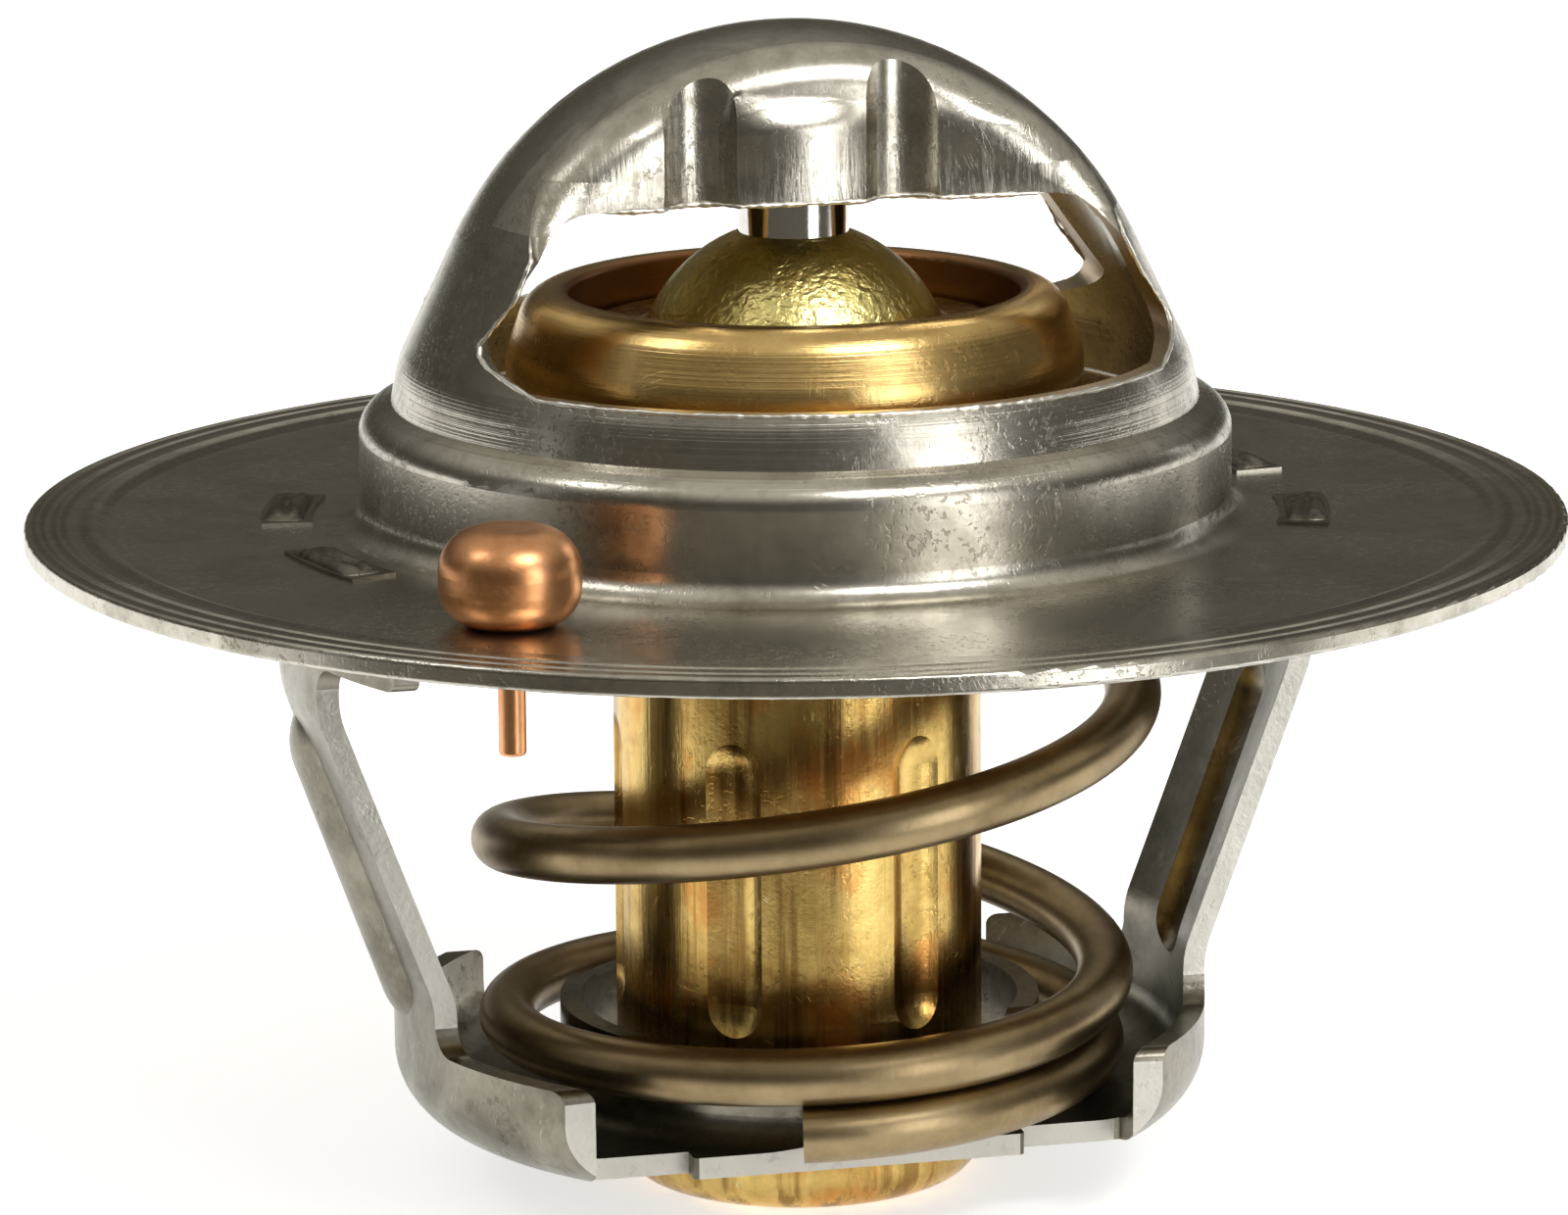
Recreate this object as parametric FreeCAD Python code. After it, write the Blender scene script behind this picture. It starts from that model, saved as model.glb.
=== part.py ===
import FreeCAD, Part
import math
import os

from FreeCAD import Vector

# Engine thermostat with a fixed bridge, a wax element and a coil spring.
# The origin is on the axis, in the upper face of the flange. +Z points to the bridge,
# and the two arms of the bridge and of the lower frame lie along X.
# All lengths are in millimetres and all angles in degrees.

# Flange and hub, drawn from one sheet
flange_radius = 32.0
flange_sheet = 0.85
bead_width = 2.8
bead_height = 0.22
bead_ramp = 0.7
rim_round = 0.2
hub_radius = 18.1
hub_shoulder_height = 4.5
hub_shoulder_round = 1.2
hub_foot_round = 1.1
neck_set_in = 1.35
neck_radius = hub_radius - neck_set_in
neck_step = 0.5
leg_foot_set_in = 0.3
leg_foot_radius = neck_radius - leg_foot_set_in
leg_foot_height = 6.6
leg_foot_round = 4.0

# Bridge over the hub
arch_set_in = 0.85
arch_radius = leg_foot_radius - arch_set_in
arch_centre_height = 4.9
arch_half_width = 5.2
fold_radius = 2.2
fold_full_height = 15.0
fold_start_height = 12.0
fold_start_radius = 0.15
fold_start_half_width = 6.95
pocket_foot_height = 12.5

# Windows between hub, legs and bridge, as seen from the front
window_sill = 7.1
window_foot_set_in = 2.7
window_foot_half_width = arch_radius - window_foot_set_in
window_hip_set_in = 1.0
window_hip_half_width = arch_radius - window_hip_set_in
window_hip_height = 8.3
window_hip_round = 1.2
window_knee_set_in = 3.45
window_knee_half_width = arch_radius - window_knee_set_in
window_knee_height = 12.1
window_knee_round = 8.0
window_head_set_in = 4.8
window_head_half_width = arch_radius - window_head_set_in
window_head = 13.8
window_corner = 2.6

# Flutes that press the bridge around the pin, set a little to one side on each face
flute_offset = 4.2
flute_shift = 0.9
flute_radius = 1.7
flute_depth = 0.9

# Slots in the flange and the staked tabs of the lower frame
tab_angle = 15.4
tab_length = 5.8
tab_gap = 0.1
tab_head_width = 2.1
tab_head_overhang = 0.2
tab_head_height = 0.12

# Lower frame, drawn and trimmed from one sheet
frame_sheet = 0.9
trim_head_round = 0.4
trim_strut_round = 1.2
trim_dish_round = 0.6
trim_floor_round = 0.25
head_radius = 21.6
head_half_width = 10.3
head_drop = 4.35
strut_half_width = 4.5
strut_bend_height = -6.5
strut_bend_round = 4.0
dish_radius = 17.1
dish_wall_top = -21.0
dish_floor = -24.5
dish_corner = 2.0
dish_half_width = 11.6
floor_tongue_half_length = 7.0
floor_tongue_half_width = 10.5
floor_step_half_length = 11.3
floor_step_half_width = 9.5
collar_radius = 9.2
collar_height = 3.8
collar_round = 1.2
rib_radius = 3.0
rib_height = 0.8
rib_top = -8.6
rib_bottom = -18.4

# Spring
wire_diameter = 2.36
spring_bottom_radius = 12.5
spring_top_radius = 14.2
spring_turns = 3.9
spring_bottom_dead_turns = 0.98
spring_top_dead_turns = 0.83
spring_ramp_turns = 0.5
spring_start_angle = -103.0
spring_turn_gap = 0.06
spring_seat_gap = 0.02
spring_bow = 0.5
spring_bow_angle = -13.5
spring_points_per_turn = 16

# Valve
valve_sheet = 0.7
valve_crest_height = 9.55
valve_throat_radius = 9.35
valve_belly_radius = 12.1
valve_belly_height = 6.6
valve_belly_round = 3.0
valve_crest_round = 1.5
valve_crest_inner_round = 0.2
valve_crest_draft = 1.1
valve_lip_round = 0.35
valve_fold_round = 0.8
valve_edge_round = 0.2
valve_waist_radius = 11.6
valve_disc_radius = 16.3
valve_seat_gap = 0.05
valve_floor_top = 5.35

# Wax element
cup_radius = 7.7
cup_wall = 0.8
cup_bottom = -28.3
cup_bottom_round = 1.5
crimp_radius = 8.8
crimp_wall = 0.7
crimp_round = 0.4
crimp_lip_round = 0.2
crimp_lip_gap = 0.06
cup_flute_count = 6
cup_flute_start = -4.0
cup_flute_radius = 2.2
cup_flute_depth = 0.45
cup_flute_top = -9.6
cup_flute_bottom = -19.4
dome_radius = 6.65
dome_centre_height = 5.6
dome_flange_thickness = 0.5
dome_flange_round = 0.1
dome_edge_gap = 0.1
washer_thickness = 0.3
boot_flange_thickness = 0.4
boot_wall = 1.4
boot_tip_wall = 2.0
boot_tip_round = 2.2
seal_gap = 0.02
wax_gap = 0.02

# Piston pin
pin_radius = 2.3
pin_bottom = -14.0
pin_tip_radius = 1.7
pin_tip_length = 4.0
pin_chamfer = 0.3
pin_running_gap = 0.03
pin_end_gap = 0.1

# Jiggle pin, loose in a hole of the flange
jiggle_angle = -131.0
jiggle_head_radius = 2.8
jiggle_hub_gap = 2.05
jiggle_distance = hub_radius + hub_foot_round + jiggle_hub_gap + jiggle_head_radius
jiggle_head_height = 3.85
jiggle_head_top_round = 1.7
jiggle_head_foot_round = 1.5
jiggle_stem_radius = 0.54
jiggle_stem_end = -5.2
jiggle_hole_gap = 0.22
jiggle_tip_round = 0.15

# Room that a cutting body takes beyond the metal it cuts
beyond = 5.0
# Depth by which one boolean body runs into its neighbour
bite = 0.05


def on_xz(u, v):
    """Point of a radial profile: u along X, v along Z."""
    return Vector(u, 0, v)


def on_yz(u, v):
    """Point of a side outline: u along Y, v along Z."""
    return Vector(0, u, v)


def on_xy(u, v):
    """Point of a plan outline: u along X, v along Y."""
    return Vector(u, v, 0)


def unit(vector):
    """Direction of a vector, with length one."""
    return vector * (1.0 / vector.Length)


def rounded_face(corners, place):
    """Closed outline through corners (u, v, radius), with tangent arcs at the rounded ones."""
    points = [place(u, v) for u, v, _ in corners]
    radii = [radius for _, _, radius in corners]
    count = len(points)
    entries = []
    exits = []
    arcs = []
    for index in range(count):
        here = points[index]
        back = unit(points[index - 1] - here)
        ahead = unit(points[(index + 1) % count] - here)
        half_angle = back.getAngle(ahead) / 2
        if radii[index] <= 0:
            entries.append(here)
            exits.append(here)
            arcs.append(None)
            continue
        reach = radii[index] / math.tan(half_angle)
        centre = here + unit(back + ahead) * (radii[index] / math.sin(half_angle))
        middle = centre + unit(here - centre) * radii[index]
        entries.append(here + back * reach)
        exits.append(here + ahead * reach)
        arcs.append(middle)
    edges = []
    for index in range(count):
        following = (index + 1) % count
        if arcs[index] is not None:
            edges.append(Part.Arc(entries[index], arcs[index], exits[index]).toShape())
        if (exits[index] - entries[following]).Length > 1e-6:
            edges.append(Part.LineSegment(exits[index], entries[following]).toShape())
    return Part.Face(Part.Wire(edges))


def turned(corners):
    """Solid turned about Z from a profile of corners (radius, height, rounding)."""
    return rounded_face(corners, on_xz).revolve(Vector(0, 0, 0), Vector(0, 0, 1), 360)


def carried_along_x(corners, half_length):
    """Side outline in YZ, carried both ways along X."""
    face = rounded_face(corners, on_yz)
    face.translate(Vector(-half_length, 0, 0))
    return face.extrude(Vector(2 * half_length, 0, 0))


def carried_along_y(corners, half_length):
    """Front outline in XZ, carried both ways along Y."""
    face = rounded_face(corners, on_xz)
    face.translate(Vector(0, -half_length, 0))
    return face.extrude(Vector(0, 2 * half_length, 0))


def carried_up(corners, low, high):
    """Plan outline in XY, carried from one height to another."""
    face = rounded_face(corners, on_xy)
    face.translate(Vector(0, 0, low))
    return face.extrude(Vector(0, 0, high - low))


def mirrored_outline(half):
    """Outline from the corners of its positive side, listed from bottom to top."""
    other = [(-u, v, radius) for u, v, radius in reversed(half)]
    return half + other


def four_fold_outline(quarter):
    """Plan outline from the corners of one quadrant, listed from the X axis to the Y axis."""
    second = [(-u, v, radius) for u, v, radius in reversed(quarter)]
    third = [(-u, -v, radius) for u, v, radius in quarter]
    fourth = [(u, -v, radius) for u, v, radius in reversed(quarter)]
    return quarter + second + third + fourth


def ring_sector(inner, outer, angle, half_angle, low, high):
    """Piece of a ring between two radii and two heights, centred on an angle."""
    profile = [(inner, low, 0), (outer, low, 0), (outer, high, 0), (inner, high, 0)]
    face = rounded_face(profile, on_xz)
    face.rotate(Vector(0, 0, 0), Vector(0, 0, 1), angle - half_angle)
    return face.revolve(Vector(0, 0, 0), Vector(0, 0, 1), 2 * half_angle)


def capsule(start, end, radius):
    """Round bar with ball ends between two points."""
    axis = end - start
    bar = Part.makeCylinder(radius, axis.Length, start, axis)
    return bar.fuse([Part.makeSphere(radius, start), Part.makeSphere(radius, end)])


def cleaned(shape):
    """Shape without the seams that joined bodies leave."""
    return shape.removeSplitter()


# Bridge and flange

def leg_lean():
    """Angle from the axis at which the conical legs lean, tangent to the arch."""
    drop = arch_centre_height - leg_foot_height
    reach = math.hypot(leg_foot_radius, drop)
    return math.acos(arch_radius / reach) - math.atan2(drop, leg_foot_radius)


def leg_radius(height, offset=0.0):
    """Radius of the conical legs at a height, set in by the offset."""
    rise = height - leg_foot_height
    return leg_foot_radius - rise * math.tan(leg_lean()) - offset / math.cos(leg_lean())


def dome_foot(offset):
    """Height where the cone of the legs runs tangent into the ball of the arch."""
    return arch_centre_height + (arch_radius - offset) * math.sin(leg_lean())


def dome_zone(offset, low, high):
    """Slice of the arch's ball between two heights."""
    radius = arch_radius - offset
    south = math.degrees(math.asin((low - arch_centre_height) / radius))
    north = math.degrees(math.asin((high - arch_centre_height) / radius))
    centre = Vector(0, 0, arch_centre_height)
    return Part.makeSphere(radius, centre, Vector(0, 0, 1), south, north, 360)


def hub_blank():
    """Flange with its rim bead, hub, neck and conical legs, filled inside."""
    neck_height = hub_shoulder_height + neck_step
    bead_inner = flange_radius - bead_width
    top = dome_foot(0)
    return turned([
        (0, -flange_sheet, 0),
        (bead_inner - bead_ramp, -flange_sheet, rim_round),
        (bead_inner, bead_height - flange_sheet, rim_round),
        (flange_radius, bead_height - flange_sheet, rim_round),
        (flange_radius, bead_height, rim_round),
        (bead_inner, bead_height, rim_round),
        (bead_inner - bead_ramp, 0, rim_round),
        (hub_radius, 0, hub_foot_round),
        (hub_radius, hub_shoulder_height, hub_shoulder_round),
        (neck_radius, neck_height, 0),
        (leg_foot_radius, leg_foot_height, leg_foot_round),
        (leg_radius(top), top, 0),
        (0, top, 0),
    ])


def hub_core():
    """Hollow of the hub, neck and legs, one sheet inside the blank."""
    wall = hub_radius - flange_sheet
    shoulder = hub_shoulder_height - flange_sheet
    top = dome_foot(flange_sheet)
    return turned([
        (0, -flange_sheet - beyond, 0),
        (wall + hub_foot_round + beyond, -flange_sheet - beyond, 0),
        (wall + hub_foot_round + beyond, -flange_sheet, 0),
        (wall, -flange_sheet, hub_foot_round + flange_sheet),
        (wall, shoulder, hub_shoulder_round - flange_sheet),
        (neck_radius - flange_sheet, shoulder + neck_step, 0),
        (leg_radius(leg_foot_height, flange_sheet), leg_foot_height, leg_foot_round - flange_sheet),
        (leg_radius(top, flange_sheet), top, 0),
        (0, top, 0),
    ])


def seat_height(radius):
    """Height of the conical seat under the hub shoulder at a radius."""
    wall = hub_radius - flange_sheet
    neck = neck_radius - flange_sheet
    shoulder = hub_shoulder_height - flange_sheet
    return shoulder + neck_step * (wall - radius) / (wall - neck)


def flared_sides():
    """Body between the sides of the bridge where they flare out from the crown to the legs."""
    rise = fold_full_height - fold_start_height
    spread = fold_start_half_width - arch_half_width
    radius = (rise ** 2 + spread ** 2) / (2 * spread)
    middle = math.asin(rise / radius) / 2
    edges = []
    corners = []
    for side in (-1, 1):
        top = Vector(0, side * arch_half_width, fold_full_height)
        foot = Vector(0, side * fold_start_half_width, fold_start_height)
        bulge = Vector(
            0,
            side * (arch_half_width + radius * (1 - math.cos(middle))),
            fold_full_height - radius * math.sin(middle),
        )
        edges.append(Part.Arc(foot, bulge, top).toShape())
        corners.append((foot, top))
    edges.append(Part.LineSegment(corners[0][0], corners[1][0]).toShape())
    edges.append(Part.LineSegment(corners[0][1], corners[1][1]).toShape())
    face = Part.Face(Part.Wire(Part.__sortEdges__(edges)))
    face.translate(Vector(-2 * arch_radius, 0, 0))
    return face.extrude(Vector(4 * arch_radius, 0, 0))


def flared_fold():
    """Slice of the bridge where its folds fade from the crown into the legs."""
    body = dome_zone(0, fold_start_height, fold_full_height).common(flared_sides())
    for rising in (True, False):
        edges = [edge for edge in body.Edges if is_flare_edge(edge, rising)]
        if rising:
            body = body.makeFillet(fold_start_radius, fold_radius, edges)
        else:
            body = body.makeFillet(fold_radius, fold_start_radius, edges)
    return body


def is_flare_edge(edge, rising):
    """True for an edge between ball and flared side that runs its full height in the asked sense."""
    start = edge.valueAt(edge.FirstParameter)
    end = edge.valueAt(edge.LastParameter)
    low, high = (start, end) if rising else (end, start)
    at_foot = abs(low.z - fold_start_height) < 1e-3 and abs(abs(low.y) - fold_start_half_width) < 1e-3
    at_top = abs(high.z - fold_full_height) < 1e-3 and abs(abs(high.y) - arch_half_width) < 1e-3
    return at_foot and at_top


def arch_drum(offset):
    """Crown of the bridge as a solid: a ball slab about the Y axis with folded edges."""
    radius = arch_radius - offset
    half = arch_half_width - offset
    fold = fold_radius - offset
    fold_side = half - fold
    fold_reach = math.sqrt((radius - fold) ** 2 - fold_side ** 2)
    fold_angle = math.atan2(fold_side, fold_reach)
    mid_angle = (fold_angle + math.pi / 2) / 2

    def at(distance, across):
        return Vector(distance, across, arch_centre_height)

    line_end = at(fold_reach, half)
    ball_start = at(radius * math.cos(fold_angle), radius * math.sin(fold_angle))
    fold_middle = at(fold_reach + fold * math.cos(mid_angle), fold_side + fold * math.sin(mid_angle))
    mirror = Vector(1, -1, 1)

    def mirrored(point):
        return Vector(point.x * mirror.x, point.y * mirror.y, point.z * mirror.z)

    edges = [
        Part.LineSegment(at(0, half), line_end).toShape(),
        Part.Arc(line_end, fold_middle, ball_start).toShape(),
        Part.Arc(ball_start, at(radius, 0), mirrored(ball_start)).toShape(),
        Part.Arc(mirrored(ball_start), mirrored(fold_middle), mirrored(line_end)).toShape(),
        Part.LineSegment(mirrored(line_end), at(0, -half)).toShape(),
        Part.LineSegment(at(0, -half), at(0, half)).toShape(),
    ]
    face = Part.Face(Part.Wire(edges))
    return face.revolve(Vector(0, 0, arch_centre_height), Vector(0, 1, 0), 360)


def flute_bars(radius):
    """Four upright bars that press the flutes into the skirts of the bridge."""
    distance = arch_half_width + flute_radius - flute_depth
    bars = []
    for side in (-1, 1):
        for face in (-1, 1):
            across = side * flute_offset + face * flute_shift
            foot = Vector(across, face * distance, arch_centre_height)
            bars.append(Part.makeCylinder(radius, arch_radius + beyond, foot))
    return bars[0].fuse(bars[1:])


def crown(offset, foot):
    """Crown of the bridge above a height, as a solid."""
    above = Part.makeBox(4 * arch_radius, 4 * arch_radius, arch_radius + beyond)
    above.translate(Vector(-2 * arch_radius, -2 * arch_radius, foot))
    return arch_drum(offset).common(above)


def window_cutter():
    """Body that opens both windows between hub, legs and crown."""
    half = [
        (window_foot_half_width, window_sill, 0),
        (window_hip_half_width, window_hip_height, window_hip_round),
        (window_knee_half_width, window_knee_height, window_knee_round),
        (window_head_half_width, window_head, window_corner),
    ]
    return carried_along_y(mirrored_outline(half), hub_radius)


def slot_cutters():
    """Four slots for the tabs of the lower frame."""
    outer = head_radius + tab_gap
    inner = head_radius - frame_sheet - tab_gap
    half_angle = math.degrees((tab_length / 2 + tab_gap) / head_radius)
    slots = []
    for arm in (0, 180):
        for side in (-tab_angle, tab_angle):
            slots.append(ring_sector(inner, outer, arm + side, half_angle, -beyond, beyond))
    return slots


def jiggle_place():
    """Foot of the jiggle pin in the upper face of the flange."""
    turn = math.radians(jiggle_angle)
    return Vector(jiggle_distance * math.cos(turn), jiggle_distance * math.sin(turn), 0)


def bridge_flange():
    """Flange, hub, legs and bridge: one stainless stamping."""
    legs = dome_zone(0, dome_foot(0), fold_start_height)
    blank = cleaned(hub_blank().fuse([legs, flared_fold(), crown(0, fold_full_height)]))
    blank = blank.cut(flute_bars(flute_radius))
    inside = dome_zone(flange_sheet, dome_foot(flange_sheet), pocket_foot_height)
    pocket = crown(flange_sheet, pocket_foot_height)
    core = cleaned(hub_core().fuse([inside, pocket.cut(flute_bars(flute_radius + flange_sheet))]))
    hole_radius = jiggle_stem_radius + jiggle_hole_gap
    hole = Part.makeCylinder(hole_radius, 2 * beyond, jiggle_place() - Vector(0, 0, beyond))
    return blank.cut(core).cut([window_cutter(), hole] + slot_cutters())


# Lower frame

def frame_shell(solid=False):
    """Sheet of the whole lower frame as a turned cup, or the filled cup inside its outer face."""
    head_top = -flange_sheet
    floor_under = dish_floor - frame_sheet
    lean_end = dish_wall_top + dish_corner
    outer = [
        (head_radius, head_top, 0),
        (head_radius, strut_bend_height, strut_bend_round),
        (dish_radius, lean_end, strut_bend_round),
        (dish_radius, floor_under, dish_corner + frame_sheet),
    ]
    if solid:
        return turned([(0, head_top, 0)] + outer + [(0, floor_under, 0)])
    inner = [
        (collar_radius, floor_under, collar_round),
        (collar_radius, dish_floor + collar_height, 0),
        (collar_radius + frame_sheet, dish_floor + collar_height, 0),
        (collar_radius + frame_sheet, dish_floor, collar_round),
        (dish_radius - frame_sheet, dish_floor, dish_corner),
        (dish_radius - frame_sheet, lean_end, strut_bend_round),
        (head_radius - frame_sheet, strut_bend_height, strut_bend_round),
        (head_radius - frame_sheet, head_top, 0),
    ]
    return turned(outer + inner)


def frame_side_outline():
    """Side view that the frame is trimmed to: heads, struts and dish."""
    floor_under = dish_floor - frame_sheet - beyond
    half = [
        (dish_half_width, floor_under, 0),
        (dish_half_width, dish_wall_top, trim_dish_round),
        (strut_half_width, dish_wall_top, trim_strut_round),
        (strut_half_width, -head_drop, trim_strut_round),
        (head_half_width, -head_drop, trim_head_round),
        (head_half_width, beyond, 0),
    ]
    return carried_along_x(mirrored_outline(half), head_radius + beyond)


def frame_plan_outline():
    """Plan view that the frame is trimmed to: stepped floor between the two arms."""
    quarter = [
        (head_radius + beyond, head_half_width + beyond, 0),
        (floor_step_half_length, head_half_width + beyond, 0),
        (floor_step_half_length, floor_step_half_width, trim_floor_round),
        (floor_tongue_half_length, floor_step_half_width, 0),
        (floor_tongue_half_length, floor_tongue_half_width, trim_floor_round),
    ]
    low = dish_floor - frame_sheet - beyond
    return carried_up(four_fold_outline(quarter), low, beyond)


def rib_bars(radius):
    """Bars along the middle of both struts that press the ribs outwards."""
    lean_end = dish_wall_top + dish_corner
    slope = (head_radius - dish_radius) / (strut_bend_height - lean_end)
    inset = (rib_radius - rib_height) * math.sqrt(1 + slope ** 2)
    bars = []
    for side in (-1, 1):
        ends = []
        for height in (rib_top, rib_bottom):
            distance = dish_radius + (height - lean_end) * slope - inset
            ends.append(Vector(side * distance, 0, height))
        bars.append(capsule(ends[0], ends[1], radius))
    return bars


def frame_tabs():
    """Tabs that pass the flange slots, each with the head it is staked to."""
    half_angle = math.degrees(tab_length / 2 / head_radius)
    head_half_angle = math.degrees((tab_length / 2 + tab_head_overhang) / head_radius)
    middle = head_radius - frame_sheet / 2
    tabs = []
    for arm in (0, 180):
        for side in (-tab_angle, tab_angle):
            angle = arm + side
            tabs.append(ring_sector(head_radius - frame_sheet, head_radius, angle, half_angle,
                                    -flange_sheet - bite, bite))
            tabs.append(ring_sector(middle - tab_head_width / 2, middle + tab_head_width / 2, angle,
                                    head_half_angle, 0, tab_head_height))
    return tabs


def lower_frame():
    """Stirrup that carries the spring: one stainless stamping staked to the flange."""
    shell = frame_shell().common(frame_side_outline()).common(frame_plan_outline())
    filled = frame_shell(solid=True)
    ribs = [bar.cut(filled) for bar in rib_bars(rib_radius)]
    shell = shell.fuse(ribs).cut(rib_bars(rib_radius - frame_sheet))
    return cleaned(shell.fuse(frame_tabs()))


# Spring

def spring_foot():
    """Height of the wire centre where the spring starts, on the dish floor."""
    return dish_floor + wire_diameter / 2 + spring_seat_gap


def spring_head():
    """Height of the wire centre where the spring ends, under the valve disc."""
    return valve_disc_top() - valve_sheet - wire_diameter / 2 - spring_seat_gap


def closed_pitch():
    """Pitch of the closed ends, where the turns almost touch."""
    return wire_diameter + spring_turn_gap


def opened(turns):
    """Turns of open pitch passed so far, eased in above the closed end at the bottom."""
    past = turns - spring_bottom_dead_turns
    share = min(max(past / spring_ramp_turns, 0.0), 1.0)
    eased = spring_ramp_turns * (share ** 3 - share ** 4 / 2)
    return eased + max(past - spring_ramp_turns, 0.0)


def closed_again(turns):
    """Turns of open pitch given back, eased out towards the closed end at the top."""
    past = turns - (spring_turns - spring_top_dead_turns - spring_ramp_turns)
    share = min(max(past / spring_ramp_turns, 0.0), 1.0)
    eased = spring_ramp_turns * (share ** 3 - share ** 4 / 2)
    return eased + max(past - spring_ramp_turns, 0.0)


def open_share(turns):
    """Part of the spring's open travel that lies below a number of turns."""
    whole = opened(spring_turns) - closed_again(spring_turns)
    return (opened(turns) - closed_again(turns)) / whole


def spring_point(turns):
    """Centre of the wire after a number of turns."""
    travel = spring_head() - spring_foot() - closed_pitch() * spring_turns
    height = spring_foot() + closed_pitch() * turns + travel * open_share(turns)
    share = open_share(turns)
    radius = spring_bottom_radius + (spring_top_radius - spring_bottom_radius) * share
    bow = spring_bow * math.sin(math.pi * turns / spring_turns) ** 2
    angle = math.radians(spring_start_angle + 360 * turns)
    bow_angle = math.radians(spring_bow_angle)
    return Vector(
        radius * math.cos(angle) + bow * math.cos(bow_angle),
        radius * math.sin(angle) + bow * math.sin(bow_angle),
        height,
    )


def spring():
    """Right-handed coil spring with closed ends, wider under the valve."""
    count = int(spring_turns * spring_points_per_turn)
    points = [spring_point(spring_turns * index / count) for index in range(count + 1)]
    line = Part.BSplineCurve()
    line.interpolate(points)
    path = Part.Wire(line.toShape())
    start = line.value(line.FirstParameter)
    direction = line.tangent(line.FirstParameter)[0]
    section = Part.Wire(Part.makeCircle(wire_diameter / 2, start, direction))
    return path.makePipeShell([section], True, True)


# Valve

def valve_disc_top():
    """Height of the disc, whose rim closes against the conical seat in the hub."""
    return seat_height(valve_disc_radius) - valve_seat_gap


def valve():
    """Valve of the element: seat disc, waist and rolled ring, one drawn sheet."""
    bore = cup_radius + seal_gap
    throat = valve_throat_radius
    belly = valve_belly_radius
    waist = valve_waist_radius
    top = valve_disc_top()
    under = top - valve_sheet
    crest_under = valve_crest_height - valve_sheet
    floor_under = valve_floor_top - valve_sheet
    outer = [
        (valve_disc_radius, under, valve_edge_round),
        (valve_disc_radius, top, valve_edge_round),
        (waist, top, valve_fold_round),
        (belly, valve_belly_height, valve_belly_round),
        (belly - valve_crest_draft, valve_crest_height, valve_crest_round),
        (throat, valve_crest_height, valve_lip_round),
        (throat, valve_floor_top, valve_lip_round),
        (bore, valve_floor_top, 0),
    ]
    inner = [
        (bore, floor_under, 0),
        (throat + valve_sheet, floor_under, valve_lip_round),
        (throat + valve_sheet, crest_under, 0),
        (belly - valve_crest_draft - valve_sheet, crest_under, valve_crest_inner_round),
        (belly - valve_sheet, valve_belly_height, valve_belly_round - valve_sheet),
        (waist - valve_sheet, under, valve_fold_round + valve_sheet),
    ]
    return turned(outer + inner)


# Wax element

def crimp_floor():
    """Height of the shoulder where the cup widens, resting on the valve floor."""
    return valve_floor_top


def dome_flange_bottom():
    """Height of the lower face of the dome flange inside the crimp."""
    return crimp_floor() + crimp_wall + boot_flange_thickness + washer_thickness


def crimp_top():
    """Height of the rolled lip that clamps the dome flange."""
    return dome_flange_bottom() + dome_flange_thickness + crimp_wall


def dome_neck():
    """Radius where the ball of the dome leaves its flange."""
    rise = dome_flange_bottom() + dome_flange_thickness - dome_centre_height
    return math.sqrt(dome_radius ** 2 - rise ** 2)


def cup_flutes(radius):
    """Bars with ball ends that press the flutes into the cup."""
    distance = cup_radius + cup_flute_radius - cup_flute_depth
    bars = []
    for index in range(cup_flute_count):
        turn = math.radians(cup_flute_start + 360 * index / cup_flute_count)
        top = Vector(distance * math.cos(turn), distance * math.sin(turn), cup_flute_top)
        bottom = Vector(top.x, top.y, cup_flute_bottom)
        bars.append(capsule(top, bottom, radius))
    return bars


def cup_inside(gap=0.0):
    """Room inside the cup below the shoulder, set in by a gap."""
    radius = cup_radius - cup_wall - gap
    room = turned([
        (0, cup_bottom + cup_wall + gap, 0),
        (radius, cup_bottom + cup_wall + gap, cup_bottom_round - cup_wall),
        (radius, crimp_floor() + crimp_wall - gap, 0),
        (0, crimp_floor() + crimp_wall - gap, 0),
    ])
    return room.cut(cup_flutes(cup_flute_radius + cup_wall + gap))


def wax_cup():
    """Drawn brass cup with six flutes and a rolled crimp that holds the dome."""
    shoulder = crimp_floor()
    top = crimp_top()
    lip = dome_neck() + crimp_lip_gap
    outer = turned([
        (0, cup_bottom, 0),
        (cup_radius, cup_bottom, cup_bottom_round),
        (cup_radius, shoulder, 0),
        (crimp_radius, shoulder, crimp_round),
        (crimp_radius, top, crimp_round),
        (lip, top, crimp_lip_round),
        (lip, top - crimp_wall, 0),
        (crimp_radius - crimp_wall, top - crimp_wall, 0),
        (crimp_radius - crimp_wall, shoulder + crimp_wall, 0),
        (0, shoulder + crimp_wall, 0),
    ])
    return outer.cut(cup_flutes(cup_flute_radius)).cut(cup_inside())


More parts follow.
